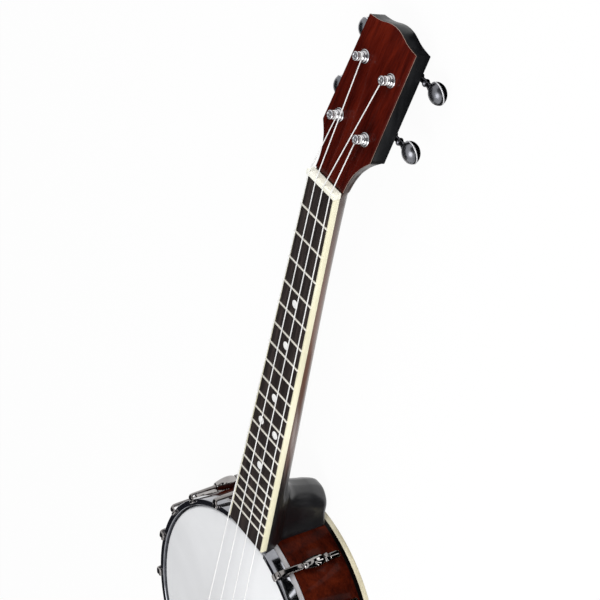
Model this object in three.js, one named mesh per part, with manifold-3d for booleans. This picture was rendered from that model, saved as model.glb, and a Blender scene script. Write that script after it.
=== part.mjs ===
// A banjo ukulele lying on its back: a drum pot with sixteen bracket hooks, a bolted neck and four
// geared tuners. Millimetres, +Z out of the drum head, +Y towards the headstock, +X the treble side.
import * as THREE from 'three';
import { mergeVertices } from 'three/addons/utils/BufferGeometryUtils.js';
import Module from 'manifold-3d';

const wasm = await Module();
wasm.setup();

// Clearances shared by the whole instrument
const glueGap = 0.3; // between pieces that are glued or seated on each other
const runningGap = 0.3; // around a shaft that turns
const cutOverrun = 2; // how far a cut runs past the face it opens
const joinDepth = 0.6; // how far joined solids reach into each other

// Scale and neck set
const scaleLength = 432; // nut to bridge
const fretCount = 20;
const neckSet = THREE.MathUtils.degToRad(2); // the neck falls back from the plane of the head
const headTilt = THREE.MathUtils.degToRad(13.6); // the headstock falls back from the fingerboard
const boardLift = 5.5; // fingerboard plane above the hoop's top, at the pot axis

// Pot
const rimRadius = 98.8;
const rimWall = 10.3;
const rimHeight = 59.3; // to the seat of the tone ring
const upperWallHeight = 9.2; // the wall steps in this far below its top
const ledgeDepth = 5.6;
const bindingHeight = 4.4;
const bindingDepth = 2.4;
const bindingProud = 0.2;
const toneRingWall = 4.2;
const toneRingHeight = 4;
const filmThickness = 0.5;
const fleshHoopWidth = 5;
const fleshHoopHeight = 4.4;
const headTravel = 0.4; // room below the head's hoop for tightening
const hoopPlay = 1.3; // between the head's collar and the tension hoop
const hoopWall = 4.7;
const hoopHeight = 10.2;
const hoopChamfer = 0.8;
const hoopNotchMargin = 0.8;
const ringSegments = 64;

// Bracket hooks and shoes
const hooksPerSide = 8;
const firstHookAngle = 24.5; // degrees from the neck
const hookStep = 20.4; // degrees
const hookStandOff = 3.5; // hook axis outside the tension hoop
const shankRadius = 1.9;
const clawWidth = 5.2;
const clawThickness = 3.4;
const clawRise = 2;
const clawReach = 6.6; // from the hook's axis in over the hoop
const clawDrop = 21.5; // length of the flat part below the hoop's top
const clawCorner = 1.1;
const shoeDrop = 22.2; // top of the shoe below the hoop's top
const shoeLength = 18.8;
const shoeRadius = 4.5;
const shoeBoltRadius = 2;
const shoeBoltHead = 3.6;
const shoeBoltHeadHeight = 2.4;
const nutCollarRadius = 3.9;
const nutCollarHeight = 3.8;
const nutBarrelRadius = 2.8;
const nutBarrelLength = 10.3;
const nutDome = 1;

// Neck and fingerboard
const boardOverhang = 1.6; // the board reaches this far in over the hoop
const boardTail = 15.47; // wood past the last fret
const boardThickness = 4.9;
const boardWidthAtNut = 28.9;
const boardWidthAtEnd = 41;
const bindingStrip = 1.5;
const fretWidth = 1.6;
const fretCrown = 0.9;
const shaftDepthAtHeel = 17.3;
const heelReach = 50; // from the rim out to the shaft
const heelRadius = 13.8; // of the heel's round front, seen from above
const heelFillet = 6; // between the shaft and the heel
const heelClear = 6.5; // heel above the table
const heelStart = 3; // the neck blank runs this far inside the rim before it is cut
const hoopClearance = 0.6;
const rodHoleDepth = 20;
const nutThickness = 4.3;
const nutCrown = 1.3; // above the fingerboard
const nutOverhang = 0.3;

// Headstock, measured from the nut's front face along the face veneer
const headFaceDrop = 4.5; // face below the fingerboard plane at the nut
const headThickness = 13.3;
const veneerThickness = 1.5;
const waistHalfWidth = 16.2;
const cornerHalfWidth = 27.4;
const topHalfWidth = 26.1;
const cornerDistance = 34.8;
const topDistance = 115.6;
const crownRise = 5.4;

// Tuners
const postHalfSpacing = 14.9;
const lowerPost = 45.5;
const upperPost = 90.2;
const sleeveRadius = 3.9;
const postShaftRadius = 2.6;
const washerRadius = 4.8;
const washerThickness = 1;
const bushingHexRadius = 4.2;
const bushingHexHeight = 1.3;
const postWaistRadius = 2.2;
const postCollarHeight = 1.2;
const postWaistHeight = 3.2;
const postCapRadius = 3.2;
const postCapHeight = 1.7;
const plateWidth = 12.4;
const plateThickness = 1.3;
const gearTeeth = 12;
const gearRadius = 4.2;
const gearToothDepth = 0.7;
const gearThickness = 3.4;
const gearLift = 1.4; // gear off the plate
const gearScrewRadius = 2.2;
const gearScrewHeight = 1.2;
const wormRadius = 2;
const wormLength = 7.6;
const wormShaftRadius = 1.4;
const earThickness = 1.8;
const earMargin = 1.4; // ear wall around the shaft
const shaftEndRadius = 2.2;
const shaftEndLength = 1.2;
const stemRadius = 1.8;
const buttonDistance = 39.9; // button centre from the instrument's centre line
const buttonHalfLength = 7;
const buttonHalfWidth = 8.5;
const buttonHalfThickness = 5.8;
const buttonRest = THREE.MathUtils.degToRad(28); // how far a button's far edge is turned up at rest

// Strings
const stringRadius = 0.45;
const stringPitchAtNut = 8.7;
const stringPitchAtBridge = 13.7;
const stringPitchAtTail = 8.5;
const stringRiseAtBridge = 3.7; // above the fingerboard plane
const windingTurns = 1;
const windingPitch = 1.45;
const windingSteps = 12; // steps in each turn
const stringSides = 6;

// Bridge, tailpiece and coordinator rod
const bridgeWidth = 60;
const bridgeThickness = 4.6;
const tailHookMargin = 3.65; // between the tail plate and the hooks beside it
const tailPlateThickness = 2;
const tailPlateReach = 20;
const tailStrapWidth = 17;
const tailStrapFoot = 14; // lowest end of the strap above the table
const tailBarHeight = 3.2;
const tailBarWidth = 3;
const tailBarSetback = 8;
const rodRadius = 3.9;
const rodHeight = 25;
const rodNutRadius = 7.4;
const rodNutThickness = 5;

// Heights and radii that follow from the sizes above
const ledgeHeight = rimHeight - upperWallHeight;
const upperWallRadius = rimRadius - ledgeDepth;
const collarInner = upperWallRadius + glueGap;
const collarOuter = collarInner + filmThickness;
const fleshOuter = collarInner + fleshHoopWidth;
const fleshBottom = ledgeHeight + headTravel;
const fleshTop = fleshBottom + fleshHoopHeight;
const hoopInner = collarOuter + hoopPlay;
const hoopOuter = hoopInner + hoopWall;
const hoopBottom = fleshTop + glueGap;
const hoopTop = hoopBottom + hoopHeight;
const toneRingTop = rimHeight + toneRingHeight;
const headUnderside = toneRingTop + glueGap;
const headTop = headUnderside + filmThickness;
const hookCircle = hoopOuter + hookStandOff;
const shoeTop = hoopTop - shoeDrop;
const shoeBottom = shoeTop - shoeLength;
const boardHeightAtAxis = hoopTop + boardLift;
const boardEnd = hoopOuter - boardOverhang;
const boardLength = scaleLength * (1 - 2 ** (-fretCount / 12)) + boardTail;
const nutFromAxis = boardEnd + boardLength; // pot axis to the nut's front face, along the board
const bridgeFromAxis = nutFromAxis - scaleLength;
const headSlabTop = -veneerThickness - glueGap;
const rimInner = rimRadius - rimWall;

// Solids and meshes

function solid(geometry) {
  const plain = geometry.clone();
  plain.deleteAttribute('normal');
  plain.deleteAttribute('uv');
  const merged = mergeVertices(plain);
  const vertProperties = new Float32Array(merged.attributes.position.array);
  const triVerts = new Uint32Array(merged.index.array);
  return new wasm.Manifold(new wasm.Mesh({ numProp: 3, vertProperties, triVerts }));
}

function geometryOf(body) {
  const mesh = body.getMesh();
  const geometry = new THREE.BufferGeometry();
  geometry.setAttribute('position', new THREE.BufferAttribute(mesh.vertProperties, 3));
  geometry.setIndex(new THREE.BufferAttribute(mesh.triVerts, 1));
  geometry.computeVertexNormals();
  return geometry;
}

function join(...geometries) {
  return geometries.map(solid).reduce((all, one) => all.add(one));
}

function finish(color, roughness, metalness) {
  return new THREE.MeshStandardMaterial({ color, roughness, metalness });
}

function place(parent, name, geometry, material) {
  const mesh = new THREE.Mesh(geometry, material);
  mesh.name = name;
  parent.add(mesh);
  return mesh;
}

// A profile of [radius, height] pairs, anticlockwise, turned about the Z axis
function turned(profile, segments = ringSegments) {
  const closed = profile[0][0] === 0 ? profile : [...profile, profile[0]];
  const points = closed.map(([radius, height]) => new THREE.Vector2(radius, height));
  return new THREE.LatheGeometry(points, segments).rotateX(Math.PI / 2);
}

function disc(radius, bottom, top, sides) {
  return turned([[0, bottom], [radius, bottom], [radius, top], [0, top]], sides);
}

function block(width, length, height, x, y, bottom) {
  return new THREE.BoxGeometry(width, length, height).translate(x, y, bottom + height / 2);
}

// An outline of [x, y] pairs pushed up from a height
function plate(outline, thickness, bottom) {
  const shape = new THREE.Shape(outline.map(([x, y]) => new THREE.Vector2(x, y)));
  const options = { depth: thickness, bevelEnabled: false };
  return new THREE.ExtrudeGeometry(shape, options).translate(0, 0, bottom);
}

// An outline of [y, z] pairs pushed out to both sides of the plane x = 0
function sidePlate(outline, width) {
  const geometry = plate(outline, width, -width / 2);
  const axes = new THREE.Matrix4().makeBasis(
    new THREE.Vector3(0, 1, 0), new THREE.Vector3(0, 0, 1), new THREE.Vector3(1, 0, 0));
  return geometry.applyMatrix4(axes);
}

// Rings of matching points, each running down the right side and up the left, joined in order
function loft(rings) {
  const count = rings[0].length;
  const index = [];
  for (let i = 0; i < rings.length - 1; i += 1) {
    for (let j = 0; j < count; j += 1) {
      const a = i * count + j;
      const b = i * count + ((j + 1) % count);
      index.push(a, b, a + count, b, b + count, a + count);
    }
  }
  const last = (rings.length - 1) * count;
  for (let j = 0; j < count / 2 - 1; j += 1) {
    const right = j;
    const left = count - 1 - j;
    index.push(right, left, left - 1, right, left - 1, right + 1);
    index.push(last + right, last + left - 1, last + left, last + right, last + right + 1, last + left - 1);
  }
  const geometry = new THREE.BufferGeometry();
  const numbers = rings.flat().flatMap((point) => point.toArray());
  geometry.setAttribute('position', new THREE.BufferAttribute(new Float32Array(numbers), 3));
  geometry.setIndex(index);
  return geometry;
}

function between(table, values, at) {
  const next = table.findIndex((share) => share >= at);
  if (next < 0) return values[values.length - 1];
  if (next === 0) return values[0];
  const part = (at - table[next - 1]) / (table[next] - table[next - 1]);
  return THREE.MathUtils.lerp(values[next - 1], values[next], part);
}

// Finishes
const mahogany = finish(0x4b200f, 0.25, 0);
const cream = finish(0xd9d0b0, 0.4, 0);
const whiteFilm = finish(0xe6e7e8, 0.5, 0);
const chrome = finish(0xb8bcc2, 0.15, 1);
const brass = finish(0xb08a45, 0.3, 1);
const nickel = finish(0xc4c6c8, 0.2, 1);
const blackSatin = finish(0x232324, 0.55, 0);
const redVeneer = finish(0x5a1a0c, 0.2, 0);
const ebony = finish(0x2c2826, 0.5, 0);
const bone = finish(0xf3f0e2, 0.4, 0);
const nylon = finish(0xf0f0ea, 0.3, 0);
const maple = finish(0xc79a5c, 0.5, 0);

// Frames: the pot stands straight, the neck leans back from it and the headstock from the neck
const instrument = new THREE.Group();
const neckFrame = new THREE.Group();
neckFrame.position.set(0, 0, boardHeightAtAxis);
neckFrame.rotation.x = -neckSet;
instrument.add(neckFrame);
const headFrame = new THREE.Group();
headFrame.position.set(0, nutFromAxis, -headFaceDrop);
headFrame.rotation.x = -headTilt;
neckFrame.add(headFrame);
instrument.updateMatrixWorld(true);
const potToNeck = neckFrame.matrixWorld.clone().invert();
const neckToPot = neckFrame.matrixWorld.clone();
const headToNeck = headFrame.matrix.clone();

// Pot: rim, binding, tone ring, head and tension hoop

function hookAngles() {
  const angles = [];
  for (let i = 0; i < hooksPerSide; i += 1) angles.push(firstHookAngle + i * hookStep);
  const mirrored = angles.map((angle) => 360 - angle).reverse();
  return [...angles, ...mirrored];
}

function rodHole(from, to) {
  const radius = rodRadius + glueGap;
  return disc(radius, from, to, 16).rotateX(-Math.PI / 2).translate(0, 0, rodHeight);
}

function boltHole(angle) {
  const hole = disc(shoeBoltRadius + glueGap, rimInner - cutOverrun, rimRadius + cutOverrun, 6);
  hole.rotateX(-Math.PI / 2).translate(0, 0, (shoeTop + shoeBottom) / 2);
  return hole.rotateZ(-THREE.MathUtils.degToRad(angle));
}

function makeRim() {
  const rabbet = rimRadius - bindingDepth - glueGap;
  const blank = turned([
    [rimInner, 0], [rabbet, 0], [rabbet, bindingHeight + glueGap],
    [rimRadius, bindingHeight + glueGap], [rimRadius, ledgeHeight], [upperWallRadius, ledgeHeight],
    [upperWallRadius, rimHeight], [rimInner, rimHeight],
  ]);
  const half = rimRadius + cutOverrun;
  let body = solid(blank).subtract(solid(rodHole(-half, half)));
  for (const angle of hookAngles()) body = body.subtract(solid(boltHole(angle)));
  return geometryOf(body);
}

function makeRimBinding() {
  const inner = rimRadius - bindingDepth;
  const outer = rimRadius + bindingProud;
  return turned([[inner, 0], [outer, 0], [outer, bindingHeight], [inner, bindingHeight]]);
}

function makeToneRing() {
  const inner = upperWallRadius - toneRingWall;
  const crest = toneRingWall / 3;
  return turned([
    [inner, rimHeight], [upperWallRadius, rimHeight], [upperWallRadius, toneRingTop - crest],
    [upperWallRadius - crest, toneRingTop], [inner + crest, toneRingTop],
    [inner, toneRingTop - crest],
  ]);
}

function makeDrumHead() {
  const shoulder = toneRingWall / 3;
  return turned([
    [0, headUnderside], [upperWallRadius - shoulder, headUnderside],
    [collarInner, toneRingTop - shoulder], [collarInner, fleshBottom], [fleshOuter, fleshBottom],
    [fleshOuter, fleshTop], [collarOuter, fleshTop], [collarOuter, toneRingTop - shoulder],
    [upperWallRadius - shoulder, headTop], [0, headTop],
  ]);
}

function boardHalfWidth(distance) {
  const share = (nutFromAxis - distance) / boardLength;
  return THREE.MathUtils.lerp(boardWidthAtNut, boardWidthAtEnd, share) / 2;
}

function makeTensionHoop() {
  const ring = turned([
    [hoopInner, hoopBottom], [hoopOuter - hoopChamfer, hoopBottom],
    [hoopOuter, hoopBottom + hoopChamfer], [hoopOuter, hoopTop - hoopChamfer],
    [hoopOuter - hoopChamfer, hoopTop], [hoopInner + hoopChamfer / 2, hoopTop],
    [hoopInner, hoopTop - hoopChamfer / 2],
  ]);
  const width = 2 * (boardHalfWidth(boardEnd) + bindingStrip + hoopNotchMargin);
  const underBoard = new THREE.Vector3(0, hoopOuter, -boardThickness).applyMatrix4(neckToPot).z;
  const floor = underBoard - hoopNotchMargin;
  const inner = Math.sqrt(hoopInner ** 2 - (width / 2) ** 2) - cutOverrun;
  const outer = hoopOuter + cutOverrun;
  const height = hoopTop - floor + cutOverrun;
  const notch = block(width, outer - inner, height, 0, (outer + inner) / 2, floor);
  return geometryOf(solid(ring).subtract(solid(notch)));
}

place(instrument, 'rim', makeRim(), mahogany);
place(instrument, 'rim_binding', makeRimBinding(), cream);
place(instrument, 'tone_ring', makeToneRing(), brass);
place(instrument, 'drum_head', makeDrumHead(), whiteFilm);
place(instrument, 'tension_hoop', makeTensionHoop(), chrome);

// Hooks and shoes, drawn at the neck's side with the pot's radius along +Y, then turned into place

function makeShoe() {
  const height = shoeTop - shoeBottom;
  const heightShares = [0, 0.34, 0.72, 1];
  const radiusShares = [0.8, 1, 0.86, 0.6];
  const outer = heightShares.map((share, i) => [shoeRadius * radiusShares[i], shoeBottom + height * share]);
  const spindle = turned([[0, shoeBottom], ...outer, [0, shoeTop]], 10).translate(0, hookCircle, 0);
  const seat = rimRadius + bindingProud + glueGap;
  const rimFace = disc(seat, shoeBottom - cutOverrun, shoeTop + cutOverrun, ringSegments);
  const headSeat = Math.sqrt(rimInner ** 2 - shoeBoltHead ** 2) - 2 * glueGap;
  const middle = (shoeTop + shoeBottom) / 2;
  const headEnd = headSeat - shoeBoltHeadHeight;
  const bolt = turned([
    [0, headEnd], [shoeBoltHead, headEnd], [shoeBoltHead, headSeat], [shoeBoltRadius, headSeat],
    [shoeBoltRadius, seat + joinDepth], [0, seat + joinDepth],
  ], 6);
  bolt.rotateX(-Math.PI / 2).translate(0, 0, middle);
  const bore = disc(shankRadius + glueGap, shoeBottom - cutOverrun, shoeTop + cutOverrun, 8);
  bore.translate(0, hookCircle, 0);
  const seated = solid(spindle).subtract(solid(rimFace));
  return geometryOf(seated.add(solid(bolt)).subtract(solid(bore)));
}

function makeHook() {
  const inside = hookCircle - clawThickness / 2;
  const outside = hookCircle + clawThickness / 2;
  const seat = hoopTop + glueGap;
  const crest = seat + clawRise;
  const foot = hoopTop - clawDrop;
  const tip = hookCircle - clawReach;
  const claw = sidePlate([
    [inside, foot], [outside, foot], [outside, crest - 2 * clawCorner],
    [outside - 2 * clawCorner, crest], [tip + clawCorner, crest], [tip, crest - clawCorner],
    [tip, seat], [inside - clawCorner / 2, seat], [inside, seat - clawCorner / 2],
  ], clawWidth);
  const nutTop = shoeBottom - glueGap;
  const collarBottom = nutTop - nutCollarHeight;
  const barrelBottom = collarBottom - nutBarrelLength;
  const shank = disc(shankRadius, collarBottom, foot + joinDepth, 8).translate(0, hookCircle, 0);
  const nut = turned([
    [0, barrelBottom], [nutBarrelRadius - nutDome, barrelBottom],
    [nutBarrelRadius, barrelBottom + nutDome], [nutBarrelRadius, collarBottom],
    [nutCollarRadius, collarBottom], [nutCollarRadius, nutTop], [0, nutTop],
  ], 6).translate(0, hookCircle, 0);
  return geometryOf(join(claw, shank, nut));
}

const shoeGeometry = makeShoe();
const hookGeometry = makeHook();
hookAngles().forEach((angle, i) => {
  const number = String(i + 1).padStart(2, '0');
  const turn = -THREE.MathUtils.degToRad(angle);
  place(instrument, `shoe_${number}`, shoeGeometry, nickel).rotation.z = turn;
  place(instrument, `hook_${number}`, hookGeometry, chrome).rotation.z = turn;
});

// Neck: one loft from the heel to the headstock, joined to the headstock's slab

const levelShares = [0, 0.1, 0.2, 0.31, 0.42, 0.53, 0.63, 0.72, 0.8, 0.87, 0.93, 0.975, 1];
const heelLevelShares = [0, 0.08, 0.16, 0.23, 0.29, 0.34, 0.42, 0.56, 0.72, 0.87, 0.95, 0.985, 1];
const squareShares = [1, 1, 1, 1, 1, 1, 1, 0.995, 0.985, 0.97, 0.945, 0.91, 0.87];
const shaftLengthShares = [0, 0.25, 0.5, 0.75, 1];
const shaftDepthShares = [0.775, 0.746, 0.81, 0.908, 1];
const heelDepthShares = [0.31, 0.373, 0.445, 0.535, 0.624, 0.723, 0.786, 0.875, 0.947, 0.985, 1];
const heelFrontShares = [1.024, 0.884, 0.804, 0.754, 0.72, 0.69, 0.674, 0.64, 0.604, 0.568, 0.51];
const heelRadiusShares = [1, 1, 1, 1, 1, 1, 1, 1, 1, 0.93, 0.78];

// One ring of the neck from [x, z] pairs that run down its right side
function ringOf(right, toNeck) {
  const left = right.map(([x, z]) => [-x, z]).reverse();
  return [...right, ...left].map(([x, z]) => toNeck(x, z));
}

function roundShare(level) {
  return Math.sqrt(1 - Math.min(level, 1) ** 2);
}

function shaftDepth(distance) {
  const share = (nutFromAxis - distance) / (nutFromAxis - rimRadius - heelReach);
  return shaftDepthAtHeel * between(shaftLengthShares, shaftDepthShares, share);
}

// Half width of the heel at a share of its depth: straight sides that end in a half circle
function heelHalfWidth(depthShare, reach) {
  const radius = heelRadius * between(heelDepthShares, heelRadiusShares, depthShare);
  const front = heelReach * between(heelDepthShares, heelFrontShares, depthShare);
  const past = THREE.MathUtils.clamp(reach - front + radius, 0, radius);
  return Math.sqrt(radius ** 2 - past ** 2);
}

// How deep the heel reaches at a distance out from the rim, as a share of its full depth
function heelDepthShare(reach) {
  const fronts = heelFrontShares.slice().reverse();
  const depths = heelDepthShares.slice().reverse();
  return between(fronts, depths, reach / heelReach);
}

// The larger of two half widths, with a fillet where they are nearly equal
function filleted(one, other) {
  const short = Math.max(heelFillet - Math.abs(one - other), 0);
  return Math.max(one, other) + short ** 2 / (4 * heelFillet);
}

function shaftRings() {
  const stationShares = [
    0.2, 0.328, 0.4, 0.46, 0.51, 0.55, 0.58, 0.604, 0.64, 0.674, 0.69, 0.72, 0.754, 0.804, 0.884,
    1.024, 1.35,
  ];
  const nutShares = [0.12, 0.3, 0.5, 0.7, 0.85, 1];
  const top = -boardThickness - glueGap;
  const fullDepth = boardHeightAtAxis - rimRadius * Math.sin(neckSet) + top - heelClear;
  const stations = stationShares.map((share) => rimRadius + heelReach * share);
  const shaftStart = stations[stations.length - 1];
  const rest = nutShares.map((share) => THREE.MathUtils.lerp(shaftStart, nutFromAxis, share));
  return [rimRadius - heelStart, ...stations, ...rest].map((distance) => {
    const reach = distance - rimRadius;
    const shaft = shaftDepth(distance);
    const depth = Math.max(shaft, fullDepth * heelDepthShare(reach));
    const inHeel = (depth - shaft) / (fullDepth - shaft);
    const halfWidth = boardHalfWidth(distance) + bindingStrip;
    const right = levelShares.map((level, i) => {
      const down = depth * THREE.MathUtils.lerp(level, heelLevelShares[i], inHeel);
      const round = halfWidth * roundShare(down / shaft);
      return [filleted(round, heelHalfWidth(down / fullDepth, reach)), top - down];
    });
    return ringOf(right, (x, z) => new THREE.Vector3(x, distance, z));
  });
}

const flareDistanceShares = [0, 0.22, 0.36, 0.48, 0.59, 0.68, 0.79, 0.91, 1];
const flareShares = [0, 0, 0.03, 0.1, 0.19, 0.32, 0.5, 0.77, 1];

function flareHalfWidth(share) {
  const flare = between(flareDistanceShares, flareShares, share);
  return THREE.MathUtils.lerp(waistHalfWidth, cornerHalfWidth, flare);
}

function flareRings() {
  const firstShare = 0.12;
  const lastShare = 1.06;
  const boardToSlab = headFaceDrop - headSlabTop;
  const depthAtNut = shaftDepth(nutFromAxis) + boardThickness + glueGap - boardToSlab;
  return [firstShare, ...flareDistanceShares.slice(1), lastShare].map((share) => {
    const inFlare = Math.min(share, 1);
    const halfWidth = flareHalfWidth(inFlare);
    const depth = THREE.MathUtils.lerp(depthAtNut, headThickness + headSlabTop, inFlare);
    const right = levelShares.map((level, i) => {
      const width = THREE.MathUtils.lerp(roundShare(level), squareShares[i], inFlare);
      return [filleted(halfWidth * width, 0), headSlabTop - depth * level];
    });
    const distance = cornerDistance * share;
    return ringOf(right, (x, z) => new THREE.Vector3(x, distance, z).applyMatrix4(headToNeck));
  });
}

// The headstock's top edge: a raised crown between two hollow shoulders
function crownOutline() {
  const acrossShares = [1, 0.87, 0.68, 0.5, 0.34, 0.16];
  const riseShares = [0, 0.06, 0.18, 0.4, 0.69, 0.93];
  const right = acrossShares.map((share, i) => [
    topHalfWidth * share, topDistance + crownRise * riseShares[i]]);
  const left = right.map(([x, y]) => [-x, y]).reverse();
  return [...right, [0, topDistance + crownRise], ...left];
}

function veneerOutline() {
  const start = nutThickness + glueGap;
  const flared = flareDistanceShares.slice(1).map((share) => cornerDistance * share);
  const right = [start, ...flared].map((distance) => [
    flareHalfWidth(distance / cornerDistance), distance]);
  const left = right.map(([x, y]) => [-x, y]).reverse();
  return [...right, ...crownOutline(), ...left];
}

function slabOutline() {
  const corner = [cornerHalfWidth, cornerDistance];
  const opposite = [-cornerHalfWidth, cornerDistance];
  return [corner, ...crownOutline(), opposite];
}

function posts() {
  return [
    { letter: 'g', side: -1, distance: lowerPost, position: 0 },
    { letter: 'c', side: -1, distance: upperPost, position: 1 },
    { letter: 'e', side: 1, distance: upperPost, position: 2 },
    { letter: 'a', side: 1, distance: lowerPost, position: 3 },
  ];
}

function sleeveHole(post) {
  const radius = sleeveRadius + glueGap;
  const hole = disc(radius, -headThickness - cutOverrun, cutOverrun, 12);
  return hole.translate(post.side * postHalfSpacing, post.distance, 0);
}

function makeNeck() {
  const slab = plate(slabOutline(), headThickness + headSlabTop, -headThickness);
  let body = solid(loft([...shaftRings(), ...flareRings()]));
  body = body.add(solid(slab.applyMatrix4(headToNeck)));
  const low = disc(rimRadius + bindingProud + glueGap, -cutOverrun, boardHeightAtAxis, ringSegments);
  const high = disc(hoopOuter + hoopClearance, ledgeHeight, boardHeightAtAxis, ringSegments);
  const bore = rodHole(rimRadius - heelStart - cutOverrun, rimRadius + rodHoleDepth);
  for (const tool of [low, high, bore]) body = body.subtract(solid(tool.applyMatrix4(potToNeck)));
  for (const post of posts()) body = body.subtract(solid(sleeveHole(post).applyMatrix4(headToNeck)));
  return geometryOf(body);
}

function makeVeneer() {
  let body = solid(plate(veneerOutline(), veneerThickness, -veneerThickness));
  for (const post of posts()) body = body.subtract(solid(sleeveHole(post)));
  return geometryOf(body);
}

function fretDistance(number) {
  return nutFromAxis - scaleLength * (1 - 2 ** (-number / 12));
}

// A fret: a low crowned bar across the board, as wide as the black wood
function makeFret(number) {
  const distance = fretDistance(number);
  const half = fretWidth / 2;
  const outline = [
    [distance - half, -joinDepth], [distance + half, -joinDepth], [distance + half, 0],
    [distance + half / 2, fretCrown], [distance - half / 2, fretCrown], [distance - half, 0],
  ];
  return sidePlate(outline, 2 * boardHalfWidth(distance));
}

function makeFingerboard() {
  const front = nutFromAxis - glueGap;
  const wide = boardHalfWidth(boardEnd) + bindingStrip;
  const narrow = boardHalfWidth(front) + bindingStrip;
  const outline = [[wide, boardEnd], [narrow, front], [-narrow, front], [-wide, boardEnd]];
  let body = solid(plate(outline, boardThickness, -boardThickness));
  for (let number = 1; number <= fretCount; number += 1) body = body.add(solid(makeFret(number)));
  return geometryOf(body);
}

function makeNut() {
  const half = boardHalfWidth(nutFromAxis) + bindingStrip + nutOverhang;
  const back = nutFromAxis + nutThickness;
  const outline = [
    [nutFromAxis, -boardThickness], [back, -boardThickness], [back, nutCrown / 2],
    [back - nutCrown / 2, nutCrown], [nutFromAxis + nutCrown / 2, nutCrown], [nutFromAxis, nutCrown / 2],
  ];
  return sidePlate(outline, 2 * half);
}

place(neckFrame, 'neck', makeNeck(), blackSatin);
place(headFrame, 'headstock_veneer', makeVeneer(), redVeneer);
place(neckFrame, 'fingerboard', makeFingerboard(), ebony);
place(neckFrame, 'nut', makeNut(), bone);

// Tuners, drawn round the post's axis with the button to the right, then mirrored for the bass side
const plateTop = -headThickness - glueGap;
const plateBottom = plateTop - plateThickness;
const gearTop = plateBottom - gearLift;
const gearBottom = gearTop - gearThickness;
const wormAcross = gearRadius + wormRadius + runningGap; // post axis to worm axis
const wormLevel = (gearTop + gearBottom) / 2;
const earInside = wormLength / 2 + runningGap;
const earOutside = earInside + earThickness;
const bushingTop = washerThickness + bushingHexHeight;
const waistBottom = bushingTop + runningGap + postCollarHeight;
const waistTop = waistBottom + postWaistHeight;

function alongX(geometry) {
  return geometry.rotateY(Math.PI / 2).translate(0, wormAcross, wormLevel);
}

function makeHousing() {
  const earHalf = wormShaftRadius + runningGap + earMargin;
  const earHeight = plateBottom - wormLevel + earHalf + joinDepth;
  const earBottom = wormLevel - earHalf;
  const middle = (earInside + earOutside) / 2;
  const back = -gearRadius - glueGap;
  const front = wormAcross + earHalf;
  const base = block(plateWidth, front - back, plateThickness, 0, (front + back) / 2, plateBottom);
  const sleeve = disc(sleeveRadius, plateBottom + joinDepth, washerThickness, 12);
  const washer = disc(washerRadius, glueGap, washerThickness, 16);
  const hexagon = disc(bushingHexRadius, washerThickness - joinDepth, bushingTop, 6);
  const ears = [-middle, middle].map((x) => (
    block(earThickness, 2 * earHalf, earHeight, x, wormAcross, earBottom)));
  const bore = disc(postShaftRadius + runningGap, plateBottom - cutOverrun, bushingTop + cutOverrun, 12);
  const reach = earOutside + cutOverrun;
  const shaftHole = alongX(disc(wormShaftRadius + runningGap, -reach, reach, 8));
  const body = join(base, sleeve, washer, hexagon, ...ears);
  return geometryOf(body.subtract(solid(bore)).subtract(solid(shaftHole)));
}

function gearOutline() {
  const outline = [];
  const radii = [gearRadius - gearToothDepth, gearRadius, gearRadius, gearRadius - gearToothDepth];
  const toothShares = [0, 0.2, 0.5, 0.7];
  for (let tooth = 0; tooth < gearTeeth; tooth += 1) {
    radii.forEach((radius, i) => {
      const angle = (2 * Math.PI * (tooth + toothShares[i])) / gearTeeth;
      outline.push([radius * Math.cos(angle), radius * Math.sin(angle)]);
    });
  }
  return outline;
}

function makePost() {
  const capTop = waistTop + postCapHeight;
  const collar = bushingTop + runningGap;
  const edge = postCapHeight / 4;
  const shaft = turned([
    [0, gearBottom - gearScrewHeight], [gearScrewRadius, gearBottom - gearScrewHeight],
    [gearScrewRadius, gearBottom + joinDepth], [postShaftRadius, gearBottom + joinDepth],
    [postShaftRadius, collar], [postCapRadius, collar], [postCapRadius, waistBottom - edge],
    [postWaistRadius, waistBottom], [postWaistRadius, waistTop], [postCapRadius, waistTop + edge],
    [postCapRadius, capTop - edge], [postCapRadius - edge, capTop], [0, capTop],
  ], 12);
  return geometryOf(join(shaft, plate(gearOutline(), gearThickness, gearBottom)));
}

function makeButton() {
  const centre = buttonDistance - postHalfSpacing;
  const stemEnd = centre - buttonHalfLength + joinDepth;
  const endStart = -earOutside - runningGap - shaftEndLength;
  const stemStart = earOutside + runningGap;
  const half = wormLength / 2;
  const shaft = alongX(turned([
    [0, endStart], [shaftEndRadius, endStart], [shaftEndRadius, endStart + shaftEndLength],
    [wormShaftRadius, endStart + shaftEndLength], [wormShaftRadius, -half], [wormRadius, -half],
    [wormRadius, half], [wormShaftRadius, half], [wormShaftRadius, stemStart],
    [stemRadius + wormShaftRadius / 2, stemStart], [stemRadius, stemStart + shaftEndLength],
    [stemRadius, stemEnd + stemRadius], [0, stemEnd + stemRadius],
  ], 8));
  const oval = new THREE.SphereGeometry(1, 14, 8);
  oval.scale(buttonHalfLength, buttonHalfWidth, buttonHalfThickness).rotateX(buttonRest);
  oval.translate(centre, wormAcross, wormLevel);
  return geometryOf(join(shaft, oval));
}

// Turns a treble-side piece into its bass-side twin, with its faces still pointing out
function mirrored(geometry) {
  const twin = geometry.clone().scale(-1, 1, 1);
  const order = twin.index.array;
  for (let i = 0; i < order.length; i += 3) [order[i], order[i + 1]] = [order[i + 1], order[i]];
  twin.computeVertexNormals();
  return twin;
}

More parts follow.
